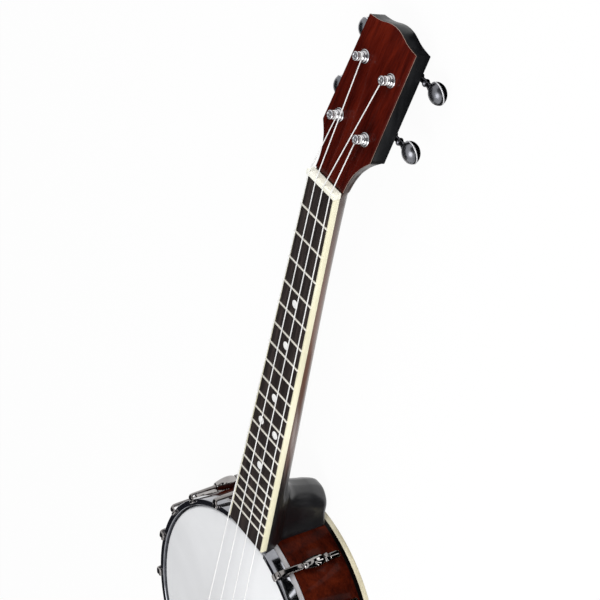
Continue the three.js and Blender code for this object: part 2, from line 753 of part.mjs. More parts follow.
const tunerPieces = {
  housing: [makeHousing(), nickel],
  post: [makePost(), nickel],
  button: [makeButton(), chrome],
};
for (const post of posts()) {
  for (const [piece, [geometry, material]] of Object.entries(tunerPieces)) {
    const shape = post.side < 0 ? mirrored(geometry) : geometry;
    const mesh = place(headFrame, `${piece}_${post.letter}`, shape, material);
    mesh.position.set(post.side * postHalfSpacing, post.distance, 0);
  }
}

// Strings: straight from the tailpiece over bridge and nut, then wound round the post's waist

class StringPath extends THREE.Curve {
  constructor(points) {
    super();
    this.points = points;
  }

  getUtoTmapping(share) {
    return share;
  }

  getPoint(share, target = new THREE.Vector3()) {
    const spans = this.points.length - 1;
    const along = THREE.MathUtils.clamp(share, 0, 1) * spans;
    const from = Math.min(Math.floor(along), spans - 1);
    return target.lerpVectors(this.points[from], this.points[from + 1], along - from);
  }
}

const tailTop = hoopTop + glueGap + tailPlateThickness;
const barFront = -hoopOuter + tailBarSetback;
const nutSlot = nutCrown + glueGap + stringRadius;

function windingPoints(post) {
  const radius = postWaistRadius + glueGap + stringRadius;
  const first = waistBottom + stringRadius + glueGap;
  const inner = post.side > 0 ? Math.PI : 0;
  const points = [];
  for (let step = 0; step <= windingTurns * windingSteps; step += 1) {
    const turn = step / windingSteps;
    const angle = inner + post.side * -2 * Math.PI * turn;
    const x = post.side * postHalfSpacing + radius * Math.cos(angle);
    const y = post.distance + radius * Math.sin(angle);
    points.push(new THREE.Vector3(x, y, first + windingPitch * turn));
  }
  return points;
}

// Least distance between surfaces of turns that lie a turn or more apart
function leastTurnGap(points) {
  let least = Infinity;
  for (let i = 0; i < points.length; i += 1) {
    for (let j = i + windingSteps - 2; j < points.length; j += 1) {
      least = Math.min(least, points[i].distanceTo(points[j]) - 2 * stringRadius);
    }
  }
  return least;
}

function makeString(post) {
  const across = post.position - (posts().length - 1) / 2;
  const atNut = across * stringPitchAtNut;
  const atBridge = across * stringPitchAtBridge;
  const atTail = across * stringPitchAtTail;
  const tail = new THREE.Vector3(atTail, barFront + glueGap, tailTop + glueGap + stringRadius);
  const winding = windingPoints(post);
  const points = [
    tail.applyMatrix4(potToNeck),
    new THREE.Vector3(atBridge, bridgeFromAxis, stringRiseAtBridge),
    new THREE.Vector3(atNut, nutFromAxis, nutSlot),
    new THREE.Vector3(atNut, nutFromAxis + nutThickness, nutSlot),
    ...winding.map((point) => point.clone().applyMatrix4(headToNeck)),
  ];
  const section = new THREE.Shape();
  section.absarc(0, 0, stringRadius, 0, 2 * Math.PI);
  const extrudePath = new StringPath(points);
  const options = { steps: points.length - 1, extrudePath, curveSegments: stringSides / 2 };
  return { geometry: new THREE.ExtrudeGeometry(section, options), gap: leastTurnGap(winding) };
}

const stringGaps = posts().map((post) => {
  const string = makeString(post);
  place(neckFrame, `string_${post.letter}`, string.geometry, nylon);
  return string.gap;
});
console.log('least gap between string turns, mm:', Math.min(...stringGaps).toFixed(2));

// Bridge, tailpiece and coordinator rod

function makeBridge() {
  const top = new THREE.Vector3(0, bridgeFromAxis, stringRiseAtBridge).applyMatrix4(neckToPot);
  const bottom = headTop + glueGap;
  const height = top.z - stringRadius - glueGap - bottom;
  const acrossShares = [1, 0.92, 0.84, 0.72, 0.56, 0.36, 0.2, 0.12];
  const riseShares = [0, 0.86, 1, 1, 1, 1, 1, 1];
  const footShares = [0.8, 0.72, 0.5, 0.3, 0.16, 0.1];
  const archShares = [0, 0.34, 0.5, 0.42, 0.22, 0];
  const half = bridgeWidth / 2;
  const upper = acrossShares.map((share, i) => [half * share, bottom + height * riseShares[i]]);
  const lower = footShares.map((share, i) => [half * share, bottom + height * archShares[i]]);
  const flip = (points) => points.map(([x, z]) => [-x, z]);
  const outline = [...upper, ...flip(upper).reverse(), ...flip(lower), ...lower.reverse()];
  const standing = plate(outline, bridgeThickness, -bridgeThickness / 2).rotateX(Math.PI / 2);
  return standing.translate(0, top.y, 0);
}

function makeTailpiece() {
  const inside = hoopOuter + 2 * glueGap;
  const outside = inside + tailPlateThickness;
  const under = hoopTop + glueGap;
  const front = hoopOuter - tailPlateReach;
  const lastHookAngle = firstHookAngle + (hooksPerSide - 1) * hookStep;
  const hookOffset = hookCircle * Math.sin(THREE.MathUtils.degToRad(lastHookAngle));
  const width = 2 * (hookOffset - clawWidth / 2 - tailHookMargin);
  const top = block(width, outside - front, tailPlateThickness, 0, -(outside + front) / 2, under);
  const strap = block(tailStrapWidth, tailPlateThickness, tailTop - tailStrapFoot, 0,
    -(inside + outside) / 2, tailStrapFoot);
  const bar = block(width, tailBarWidth, tailBarHeight + joinDepth, 0,
    barFront - tailBarWidth / 2, tailTop - joinDepth);
  const body = join(top, strap, bar);
  return geometryOf(body.subtract(solid(rodHole(-outside - cutOverrun, -inside + cutOverrun))));
}

function alongY(geometry) {
  return geometry.rotateX(-Math.PI / 2).translate(0, 0, rodHeight);
}

function makeRod() {
  const tailFace = hoopOuter + 2 * glueGap + tailPlateThickness + glueGap;
  const wall = Math.sqrt(rimInner ** 2 - rodNutRadius ** 2) - glueGap;
  const heelEnd = rimRadius + rodHoleDepth - glueGap;
  const bar = alongY(disc(rodRadius, -tailFace - rodNutThickness, heelEnd, 16));
  const nuts = [-tailFace - rodNutThickness, -wall, wall - rodNutThickness]
    .map((from) => alongY(disc(rodNutRadius, from, from + rodNutThickness, 6)));
  return geometryOf(join(bar, ...nuts));
}

place(instrument, 'bridge', makeBridge(), maple);
place(instrument, 'tailpiece', makeTailpiece(), chrome);
place(instrument, 'coordinator_rod', makeRod(), nickel);

// The origin lies under the middle of the whole instrument's outline, on the table
instrument.updateMatrixWorld(true);
const outline = new THREE.Box3().setFromObject(instrument, true);
instrument.position.y = -(outline.min.y + outline.max.y) / 2;

export default instrument;
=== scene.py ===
# A banjo ukulele lying on its back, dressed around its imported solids. Blender counts in metres, so its sizes,
# which are written in millimetres, go through inMm, mmCorners or times mm. The camera, the cards and the lamps
# are placed in metres.
from math import copysign, cos, pi, radians, sin, sqrt

import bpy
from mathutils import Matrix, Vector


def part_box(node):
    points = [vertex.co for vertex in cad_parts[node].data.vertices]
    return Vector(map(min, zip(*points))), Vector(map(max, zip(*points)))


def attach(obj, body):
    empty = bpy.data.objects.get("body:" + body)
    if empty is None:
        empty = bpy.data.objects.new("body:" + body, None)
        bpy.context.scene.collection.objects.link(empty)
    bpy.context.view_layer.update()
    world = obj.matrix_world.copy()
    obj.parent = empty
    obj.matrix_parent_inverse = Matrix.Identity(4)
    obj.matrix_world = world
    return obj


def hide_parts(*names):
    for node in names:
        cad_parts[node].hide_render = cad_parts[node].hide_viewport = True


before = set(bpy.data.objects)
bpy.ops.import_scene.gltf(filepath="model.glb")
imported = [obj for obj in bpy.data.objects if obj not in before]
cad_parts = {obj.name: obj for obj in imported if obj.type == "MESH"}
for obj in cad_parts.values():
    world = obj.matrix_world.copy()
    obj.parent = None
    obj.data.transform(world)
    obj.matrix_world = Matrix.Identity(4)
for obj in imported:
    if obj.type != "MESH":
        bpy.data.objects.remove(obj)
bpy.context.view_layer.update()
mm = 0.001
print("stage: frame loaded")


def inMm(**sizes):  # a dictionary of sizes, written in millimetres
    return {name: size * mm for name, size in sizes.items()}


def mmCorners(*corners):  # corners for rounded(), with every number written in millimetres
    return [(x * mm, y * mm, radius) for x, y, radius in corners]


def moved(x, y, z):
    return Matrix.Translation((x, y, z))


def turned(axis, degrees):
    return Matrix.Rotation(radians(degrees), 4, axis)


def stretched(x, y, z):
    return Matrix.Diagonal((x, y, z, 1))


# places that everything else is measured from
rimLow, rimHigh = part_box("rim")
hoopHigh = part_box("tension_hoop")[1]
hoopTop = hoopHigh.z
hoopRadius = hoopHigh.x
potPlace = moved(0, (rimLow.y + rimHigh.y) / 2, 0)
neckSet = dict(inMm(lift=5.5, scale=432, tail=15.47, overHoop=1.6), lean=2, frets=20)
boardEnd = hoopRadius - neckSet["overHoop"]
boardLength = neckSet["scale"] * (1 - 2 ** (-neckSet["frets"] / 12)) + neckSet["tail"]
nutFront = boardEnd + boardLength
neckPlace = potPlace @ moved(0, 0, hoopTop + neckSet["lift"]) @ turned("X", -neckSet["lean"])
headSet = dict(inMm(drop=4.5, thickness=13.3, veneer=1.5, face=0.45, line=0.3), lean=13.6)
headPlace = neckPlace @ moved(0, nutFront, -headSet["drop"]) @ turned("X", -headSet["lean"])

# turns for a plate's mesh: the first lays its thickness along X, the second stands it up along X
acrossNeck = Matrix(((0, 0, 1, 0), (1, 0, 0, 0), (0, 1, 0, 0), (0, 0, 0, 1)))
facingNeck = Matrix(((1, 0, 0, 0), (0, 0, 1, 0), (0, 1, 0, 0), (0, 0, 0, 1)))


# camera

cameraSet = dict(place=(1.0884, 1.2095, 0.9589), turn=(-25.584, 56.235, 14.603), lens=158.7, sensor=36,
                 shift=(0.0248, -0.0545), near=0.05, far=60)
bpy.ops.object.camera_add(location=cameraSet["place"], rotation=[radians(a) for a in cameraSet["turn"]])
camera = bpy.context.active_object
camera.data.lens = cameraSet["lens"]
camera.data.sensor_width = cameraSet["sensor"]
camera.data.shift_x, camera.data.shift_y = cameraSet["shift"]
camera.data.clip_start, camera.data.clip_end = cameraSet["near"], cameraSet["far"]
bpy.context.scene.camera = camera
print("stage: camera set")


# modelling helpers

def selectNone():
    bpy.ops.object.select_all(action="DESELECT")


def takeUp(piece):
    selectNone()
    piece.select_set(True)
    bpy.context.view_layer.objects.active = piece


def newPiece(name, points=None):  # names what was just added, and moves its points to the given ones
    piece = bpy.context.active_object
    piece.name = name
    piece.data.name = name
    if points:
        for vertex, point in zip(piece.data.vertices, points, strict=True):
            vertex.co = point
    return piece


def tidyMesh(piece, closeEnds=False):
    takeUp(piece)
    bpy.ops.object.mode_set(mode="EDIT")
    bpy.ops.mesh.select_all(action="SELECT")
    bpy.ops.mesh.remove_doubles(threshold=0.001 * mm)
    bpy.ops.mesh.delete_loose(use_verts=True, use_edges=True, use_faces=False)
    bpy.ops.mesh.select_all(action="SELECT")
    if closeEnds:
        bpy.ops.mesh.fill_holes(sides=0)
        bpy.ops.mesh.select_all(action="SELECT")
    bpy.ops.mesh.normals_make_consistent(inside=False)
    bpy.ops.object.mode_set(mode="OBJECT")
    return piece


def turnedPiece(name, profile, steps=96):  # a profile of (radius, height), spun about the Z axis
    selectNone()
    bpy.ops.mesh.primitive_circle_add(vertices=len(profile), radius=0.1)
    piece = newPiece(name, [(radius, 0, height) for radius, height in profile])
    bpy.ops.object.mode_set(mode="EDIT")
    bpy.ops.mesh.select_all(action="SELECT")
    bpy.ops.mesh.spin(steps=steps, angle=2 * pi, center=(0, 0, 0), axis=(0, 0, 1))
    bpy.ops.object.mode_set(mode="OBJECT")
    return tidyMesh(piece)


def platePiece(name, outline, bottom, top):  # an outline of (x, y), pushed up from bottom to top
    selectNone()
    bpy.ops.mesh.primitive_circle_add(vertices=len(outline), radius=0.1, fill_type="NGON")
    piece = newPiece(name, [(x, y, bottom) for x, y in outline])
    bpy.ops.object.mode_set(mode="EDIT")
    bpy.ops.mesh.select_all(action="SELECT")
    bpy.ops.mesh.extrude_region_move(TRANSFORM_OT_translate={"value": (0, 0, top - bottom)})
    bpy.ops.object.mode_set(mode="OBJECT")
    return tidyMesh(piece)


def loftPiece(name, rings):  # a grid rolled up, one row on each ring, with both ends filled
    selectNone()
    bpy.ops.mesh.primitive_grid_add(x_subdivisions=len(rings[0]), y_subdivisions=len(rings) - 1, size=0.1)
    return tidyMesh(newPiece(name, [point for ring in rings for point in [*ring, ring[0]]]), closeEnds=True)


def barPiece(name, sides, radius, length):  # a straight bar along Z, with its middle at the origin
    selectNone()
    bpy.ops.mesh.primitive_cylinder_add(vertices=sides, radius=radius, depth=length)
    return newPiece(name)


def softenEdges(piece, width, segments=2, angle=40):  # width in millimetres
    takeUp(piece)
    edge = piece.modifiers.new("edge", "BEVEL")
    edge.width = width * mm
    edge.segments = segments
    edge.limit_method = "ANGLE"
    edge.angle_limit = radians(angle)
    bpy.ops.object.modifier_apply(modifier="edge")
    return piece


def cutAway(piece, *tools):
    for tool in tools:
        takeUp(piece)
        cut = piece.modifiers.new("cut", "BOOLEAN")
        cut.operation = "DIFFERENCE"
        cut.solver = "EXACT"
        cut.object = tool
        bpy.ops.object.modifier_apply(modifier="cut")
        bpy.data.objects.remove(tool)
    return piece


def joinPieces(piece, *others):
    takeUp(piece)
    for other in others:
        other.select_set(True)
    bpy.ops.object.join()
    return piece


def placeMesh(piece, place):
    piece.data.transform(place)
    if place.determinant() < 0:
        piece.data.flip_normals()
    return piece


def copyPiece(piece, name, place):
    twin = piece.copy()
    twin.data = piece.data.copy()
    twin.name = name
    twin.data.name = name
    bpy.context.scene.collection.objects.link(twin)
    return placeMesh(twin, place)


def finishPiece(piece, material, node, body="root", sharp=35):
    piece.data.materials.clear()
    piece.data.materials.append(material)
    takeUp(piece)
    bpy.ops.object.shade_smooth_by_angle(angle=radians(sharp))
    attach(piece, body)
    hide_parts(node)


def rounded(corners, steps=3):  # corners of (across, along, radius), with only the radius in millimetres
    points = []
    for i, (x, y, radius) in enumerate(corners):
        here = Vector((x, y))
        if radius == 0:
            points.append((x, y))
            continue
        before = Vector(corners[i - 1][:2]) - here
        after = Vector(corners[(i + 1) % len(corners)][:2]) - here
        start = here + before.normalized() * min(radius * mm, before.length / 2)
        end = here + after.normalized() * min(radius * mm, after.length / 2)
        for step in range(steps + 1):
            t = step / steps
            points.append(tuple(start * (1 - t) ** 2 + here * 2 * t * (1 - t) + end * t ** 2))
    return points


def bothSides(right):  # points down one side, then their mirror images back up the other
    return right + [(-x, *rest) for x, *rest in reversed(right)]


def eased(table, values, at):  # a smooth curve through (table, values)
    if at <= table[0]:
        return values[0]
    if at >= table[-1]:
        return values[-1]
    i = max(k for k in range(len(table) - 1) if table[k] <= at)

    def slope(k):
        low, high = max(k - 1, 0), min(k + 1, len(table) - 1)
        return (values[high] - values[low]) / (table[high] - table[low])

    span = table[i + 1] - table[i]
    t = (at - table[i]) / span
    return (values[i] * (2 * t ** 3 - 3 * t ** 2 + 1) + values[i + 1] * (3 * t ** 2 - 2 * t ** 3)
            + slope(i) * span * (t ** 3 - 2 * t ** 2 + t) + slope(i + 1) * span * (t ** 3 - t ** 2))


def aboutPot(angle):  # from the neck's side round the pot, in degrees towards the treble
    return potPlace @ turned("Z", -angle)


# material helpers

def tint(code):
    shares = [int(code[i:i + 2], 16) / 255 for i in (0, 2, 4)]
    return [s / 12.92 if s <= 0.04045 else ((s + 0.055) / 1.055) ** 2.4 for s in shares] + [1]


def newFinish(name, **values):
    material = bpy.data.materials.new(name)
    material.use_nodes = True
    shader = material.node_tree.nodes["Principled BSDF"]
    for key, value in values.items():
        shader.inputs[key.replace("_", " ")].default_value = value
    return material, material.node_tree, shader


def addNode(tree, kind, inputs, **settings):
    node = tree.nodes.new("ShaderNode" + kind)
    for key, value in settings.items():
        setattr(node, key, value)
    for key, value in inputs.items():
        if isinstance(value, bpy.types.NodeSocket):
            tree.links.new(value, node.inputs[key])
        else:
            node.inputs[key].default_value = value
    return node


def calc(tree, operation, first, second):
    return addNode(tree, "Math", {0: first, 1: second}, operation=operation).outputs[0]


def objectPlace(tree, scale=(1, 1, 1)):
    coordinate = addNode(tree, "TexCoord", {}).outputs["Object"]
    return addNode(tree, "Mapping", {"Vector": coordinate, "Scale": scale}).outputs["Vector"]


def grainNoise(tree, place, scale, detail=4, roughness=0.55, distortion=0):
    values = {"Vector": place, "Scale": scale, "Detail": detail, "Roughness": roughness,
              "Distortion": distortion}
    return addNode(tree, "TexNoise", values).outputs["Fac"]


def colourRamp(tree, source, stops):  # stops of (share, colour code)
    node = addNode(tree, "ValToRGB", {"Fac": source})
    ramp = node.color_ramp
    while len(ramp.elements) < len(stops):
        ramp.elements.new(0.5)
    for element, (share, code) in zip(ramp.elements, stops):
        element.position = share
        element.color = tint(code)
    return node.outputs["Color"]


def spread(tree, source, low, high, fromLow=0.3, fromHigh=0.7):
    values = {"Value": source, "From Min": fromLow, "From Max": fromHigh, "To Min": low, "To Max": high}
    return addNode(tree, "MapRange", values).outputs["Result"]


def mixColours(tree, share, first, second, blend="MIX"):
    node = addNode(tree, "Mix", {0: share, 6: first, 7: second}, data_type="RGBA", blend_type=blend)
    return node.outputs[2]


def addBump(tree, shader, height, distance, strength):  # distance in millimetres
    node = addNode(tree, "Bump", {"Height": height, "Distance": distance * mm, "Strength": strength})
    tree.links.new(node.outputs["Normal"], shader.inputs["Normal"])


def plug(tree, output, shader, name):
    tree.links.new(output, shader.inputs[name])


def woodFinish(name, stops, streakScale, roughness, coat, pores=0.5, blotch=0.35, specular=0.35):
    # streakScale: how often the figure repeats along X, Y and Z
    material, tree, shader = newFinish(name, Specular_IOR_Level=specular, Coat_Weight=coat,
                                       Coat_Roughness=0.06)
    place = objectPlace(tree, streakScale)
    broad = grainNoise(tree, place, 1, detail=5, roughness=0.6, distortion=0.6)
    fine = grainNoise(tree, place, 5.5, detail=3, roughness=0.7)
    cloud = grainNoise(tree, objectPlace(tree), 16, detail=2)
    figure = calc(tree, "ADD", calc(tree, "MULTIPLY", fine, pores), broad)
    figure = calc(tree, "ADD", figure, calc(tree, "MULTIPLY", cloud, blotch))
    middle, reach = 0.5 * (1 + pores + blotch), 0.24
    level = spread(tree, figure, 0, 1, middle - reach, middle + reach)
    plug(tree, colourRamp(tree, level, stops), shader, "Base Color")
    plug(tree, spread(tree, fine, roughness * 0.85, roughness * 1.2), shader, "Roughness")
    addBump(tree, shader, fine, 0.02, 0.25)
    return material


def metalFinish(name, colour, dulled, roughness, smear=0.0, brushed=None, metallic=1.0):
    # dulled: the darker colour, mixed in patches by a noise cloud; brushed: scale of the brush lines along X, Y
    # and Z
    material, tree, shader = newFinish(name, Metallic=metallic)
    cloud = grainNoise(tree, objectPlace(tree), 90, detail=3)
    plug(tree, mixColours(tree, spread(tree, cloud, 0, 1), tint(colour), tint(dulled)), shader, "Base Color")
    if brushed:
        lines = grainNoise(tree, objectPlace(tree, brushed), 1, detail=2)
        plug(tree, spread(tree, lines, roughness * 0.7, roughness * 1.35), shader, "Roughness")
        addBump(tree, shader, lines, 0.02, 0.35)
    else:
        plug(tree, spread(tree, cloud, roughness, roughness + smear), shader, "Roughness")
        addBump(tree, shader, grainNoise(tree, objectPlace(tree), 700, detail=2), 0.004, 0.2)
    return material


def mouldedFinish(name, shades, roughness, scale, specular=0.5, coat=0.0, relief=0.02):
    # shades: dark, middle and light
    material, tree, shader = newFinish(name, Specular_IOR_Level=specular, Coat_Weight=coat,
                                       Coat_Roughness=0.1)
    cloud = grainNoise(tree, objectPlace(tree, scale), 1, detail=4, distortion=0.4)
    speck = grainNoise(tree, objectPlace(tree), 900, detail=2)
    stops = list(zip((0, 0.5, 1), shades))
    plug(tree, colourRamp(tree, spread(tree, cloud, 0, 1), stops), shader, "Base Color")
    plug(tree, spread(tree, cloud, roughness * 0.85, roughness * 1.2), shader, "Roughness")
    addBump(tree, shader, speck, relief, 0.3)
    return material


# finishes

rimWood = woodFinish("rim_mahogany", [(0, "1e0401"), (0.35, "2c0802"), (0.65, "3b0e03"), (1, "4a1605")],
                     (60, 60, 90), 0.3, 0.05, blotch=0.6, specular=0.03)
veneerWood = woodFinish("headstock_veneer",
                        [(0, "280502"), (0.35, "3e0a04"), (0.65, "4c1006"), (1, "60190a")],
                        (120, 8, 40), 0.3, 0.2, pores=0.4, blotch=0.3, specular=0.05)
boardWood = woodFinish("fingerboard_rosewood",
                       [(0, "141010"), (0.4, "231d1c"), (0.75, "2f2826"), (1, "3f3431")],
                       (260, 9, 60), 0.5, 0.0, pores=0.8, blotch=0.2, specular=0.2)
bridgeWood = woodFinish("bridge_maple", [(0, "a87642"), (0.5, "c79a5f"), (1, "dcb680")],
                        (16, 90, 160), 0.45, 0.15, blotch=0.2)
blackLine = mouldedFinish("rim_black_line", ("030202", "070504", "0e0908"), 0.35, (40, 40, 200), 0.08)
rimBindingFinish = mouldedFinish("rim_cream_binding", ("b9b096", "c9c1a6", "d6d0b8"), 0.4, (30, 30, 120))
boardBindingFinish = mouldedFinish("board_cream_binding", ("dcd8b8", "e6e1c4", "eeead2"), 0.35, (60, 12, 60))
boneFinish = mouldedFinish("nut_bone", ("f0edda", "f7f5e6", "fdfcf2"), 0.4, (60, 200, 60))
pearlFinish = mouldedFinish("dot_pearl", ("ececee", "f6f6f5", "fefefb"), 0.25, (300, 300, 300), coat=0.4)
edgeFinish = mouldedFinish("veneer_edge", ("8a6a5e", "a58a7c", "bba294"), 0.45, (50, 50, 200))
nylonFinish = mouldedFinish("string_nylon", ("dededd", "e8e8e7", "f2f2f1"), 0.3, (200, 30, 200), relief=0.01)
filmFinish = mouldedFinish("drum_film", ("dedfe1", "e6e7e9", "ebecee"), 0.55, (9, 9, 9), 0.3, relief=0.03)
chromeFinish = metalFinish("hoop_chrome", "a2a3a8", "8c8d93", 0.06, 0.05)
hookFinish = metalFinish("hook_nickel", "9a9694", "7c7876", 0.05, 0.04)
shoeFinish = metalFinish("shoe_chrome", "b4b1af", "989593", 0.04, 0.03)
bandFinish = metalFinish("head_band_aluminium", "c4c3c6", "b2b0b2", 0.5, brushed=(60, 60, 2600),
                         metallic=0.45)
fretFinish = metalFinish("fret_silver", "f8f5ec", "ece7da", 0.36, 0.08, metallic=0.5)
toneFinish = metalFinish("tone_ring_brass", "b78a45", "96703a", 0.25, 0.12)
tunerFinish = metalFinish("tuner_nickel", "d6d6d8", "bebec2", 0.12, 0.06)
postFinish = metalFinish("post_nickel", "dcdcdf", "c4c4c8", 0.2, 0.08, metallic=0.85)
buttonFinish = metalFinish("button_chrome", "86878c", "67686d", 0.23, 0.08)
# painted highlight: the button's edge bead gets a near-white metal, far paler than the button, standing in for
# the bright line along its crease
edgePaintedHighlight = metalFinish("button_edge_painted_highlight", "f4f4f6", "e2e2e6", 0.4, 0.08, metallic=0.6)
stemFinish = metalFinish("button_shaft_steel", "6f6f74", "4c4c52", 0.2, 0.1)
rodFinish = metalFinish("rod_steel", "b4b4b6", "8f8f92", 0.22, brushed=(500, 30, 500))


def neckLacquer():
    # translucent brown on the open shaft, running into black at the heel and the headstock, with painted shade
    # on the heel
    material, tree, shader = newFinish("neck_lacquer", Specular_IOR_Level=0.4, Coat_Weight=0.5,
                                       Coat_Roughness=0.24)
    axes = addNode(tree, "SeparateXYZ", {"Vector": objectPlace(tree)}).outputs
    figure = grainNoise(tree, objectPlace(tree, (160, 9, 160)), 1, detail=5)
    along = calc(tree, "ADD", axes["Y"], calc(tree, "MULTIPLY", figure, 0.06))
    heelEnd, headEnd = -0.034, 0.262
    burst = [(0, "202023"), (0.05, "2a1a16"), (0.12, "5e4033"), (0.6, "6c4b3c"), (0.86, "584239"),
             (1, "161415")]
    brown = colourRamp(tree, spread(tree, along, 0, 1, heelEnd, headEnd), burst)
    streak = colourRamp(tree, spread(tree, figure, 0, 1), [(0, "8c8c8c"), (1, "ffffff")])
    stained = mixColours(tree, 0.55, brown, streak, "MULTIPLY")
    paintedShadeNearBoard = spread(tree, axes["Z"], 0, 0.75, 0.012, 0.042)  # painted shade: the heel darkens towards the fingerboard
    inHeel = spread(tree, axes["Y"], 1, 0, -0.06, -0.02)
    paintedShade = calc(tree, "MULTIPLY", paintedShadeNearBoard, inHeel)
    # near-black mixed over the lacquer where the painted shade lies
    plug(tree, mixColours(tree, paintedShade, stained, tint("030203")), shader, "Base Color")
    plug(tree, spread(tree, figure, 0.3, 0.42), shader, "Roughness")
    addBump(tree, shader, figure, 0.02, 0.2)
    return material


neckFinish = neckLacquer()
slabFinish = mouldedFinish("headstock_black", ("0b0c0e", "121315", "1a1b1d"), 0.38, (120, 10, 120), 0.35)
print("stage: finishes made")


# pot

pot = inMm(radius=98.8, wall=10.3, height=59.3, stepDown=9.2, ledge=5.6, bindingHigh=4.4, bindingDeep=2.4,
           bindingProud=0.2, lineHigh=3.3, lineProud=0.05, joint=0.05)
roundThePot = 192  # faces round anything as wide as the pot
potInner = pot["radius"] - pot["wall"]
upperRadius = pot["radius"] - pot["ledge"]
ledgeLevel = pot["height"] - pot["stepDown"]
lineLevel = pot["bindingHigh"] + pot["lineHigh"]


def potRing(name, corners, steps=3, faces=roundThePot):  # turned about the pot's own axis
    return placeMesh(turnedPiece(name, rounded(corners, steps), faces), potPlace)


def makeRim():
    rabbet = pot["radius"] - pot["bindingDeep"] - pot["joint"]
    shoulder = lineLevel + pot["joint"]
    corners = [(potInner, 0, 0.8), (rabbet, 0, 0), (rabbet, shoulder, 0), (pot["radius"], shoulder, 0),
               (pot["radius"], ledgeLevel, 0.7), (upperRadius, ledgeLevel, 0),
               (upperRadius, pot["height"], 0.3), (potInner, pot["height"], 0.6)]
    return potRing("rim_wood", corners)


def makeBand(name, bottom, top, proud, edge):
    inner, outer = pot["radius"] - pot["bindingDeep"], pot["radius"] + proud
    return potRing(name, [(inner, bottom, 0), (outer, bottom, edge), (outer, top, edge / 3), (inner, top, 0)])


finishPiece(makeRim(), rimWood, "rim")
line = makeBand("rim_line", pot["bindingHigh"] + pot["joint"], lineLevel, pot["lineProud"], 0.1)
finishPiece(line, blackLine, "rim")
binding = makeBand("rim_edge_binding", 0, pot["bindingHigh"], pot["bindingProud"], 0.9)
finishPiece(binding, rimBindingFinish, "rim_binding")

head = inMm(toneWall=4.2, toneHigh=4, toneGroove=0.5, film=0.5, gap=0.3, bandWide=5, bandHigh=4.4, travel=0.4)
toneTop = pot["height"] + head["toneHigh"]
headUnder = toneTop + head["gap"]
headTop = headUnder + head["film"]
collar = upperRadius + head["gap"]
filmRadius = collar + head["film"]
bandBottom = ledgeLevel + head["travel"]
bandTop = bandBottom + head["bandHigh"]
bandRadius = collar + head["bandWide"]


def makeToneRing():
    inner, groove = upperRadius - head["toneWall"], head["toneGroove"]
    middle = pot["height"] + head["toneHigh"] / 2
    corners = [(inner, pot["height"], 0), (upperRadius, pot["height"], 0), (upperRadius, toneTop, 1.3),
               (inner, toneTop, 1.3), (inner, middle + groove, 0.2), (inner + groove, middle, 0.2),
               (inner, middle - groove, 0.2)]
    return potRing("tone_ring_turned", corners, 5, 160)


def makeFilm():
    corners = [(0, headUnder, 0), (collar, headUnder, 1.6), (collar, bandBottom, 0),
               (filmRadius, bandBottom, 0), (filmRadius, headTop, 2), (0, headTop, 0)]
    return potRing("head_film", corners, 6)


def makeHeadBand():
    corners = [(filmRadius, bandBottom, 0), (bandRadius, bandBottom, 0.5), (bandRadius, bandTop, 0.5),
               (filmRadius, bandTop, 0)]
    return potRing("head_band", corners)


finishPiece(makeToneRing(), toneFinish, "tone_ring")
finishPiece(makeFilm(), filmFinish, "drum_head")
finishPiece(makeHeadBand(), bandFinish, "drum_head")

hoop = dict(inMm(wall=4.7, height=10.2, notchMargin=0.8, notchFrom=80, notchTo=120, overNotch=5), edge=1.0)
board = inMm(thick=4.9, atNut=28.9, atEnd=41, strip=1.5)


def boardHalf(distance):  # half the board's width between its bindings
    share = (nutFront - distance) / boardLength
    return (board["atNut"] + (board["atEnd"] - board["atNut"]) * share) / 2


def makeHoop():
    inner, bottom = hoopRadius - hoop["wall"], hoopTop - hoop["height"]
    corners = [(inner, bottom, 0.3), (hoopRadius, bottom, hoop["edge"]), (hoopRadius, hoopTop, hoop["edge"]),
               (inner, hoopTop, 0.7)]
    ring = potRing("stretch_hoop", corners, 4)
    half = boardHalf(boardEnd) + board["strip"] + hoop["notchMargin"]
    floor = (neckPlace @ Vector((0, hoopRadius, -board["thick"]))).z - hoop["notchMargin"]
    near, far = hoop["notchFrom"], hoop["notchTo"]
    outline = [(-half, near), (half, near), (half, far), (-half, far)]
    notch = platePiece("notch", outline, floor, hoopTop + hoop["overNotch"])
    return cutAway(ring, placeMesh(notch, potPlace))


finishPiece(makeHoop(), chromeFinish, "tension_hoop", sharp=12)
print("stage: pot made")


# hooks with their closed nuts, and the shoes that they pull on

hooks = dict(inMm(standOff=3.5, shank=1.9, halfWide=2.6, halfThick=1.7, shoeDrop=21.7, shoeLong=17.6,
                  shoeRadius=4.9, nutGap=0.3, nutHex=3.9, nutHexHigh=3.8, barrel=2.8, barrelLong=10,
                  flatFrom=21, bend=2.1, overHoop=1.0), perSide=8, first=24.5, step=20.4)
bolt = inMm(dome=2.9, domeHigh=2.6, flange=3.6, flangeHigh=0.6, shank=2, inShoe=1, seatGap=0.02)
hookCircle = hoopRadius + hooks["standOff"]
shoeTop = hoopTop - hooks["shoeDrop"]
shoeBottom = shoeTop - hooks["shoeLong"]
nutTop = shoeBottom - hooks["nutGap"]
hexBottom = nutTop - hooks["nutHexHigh"]
barrelBottom = hexBottom - hooks["barrelLong"]


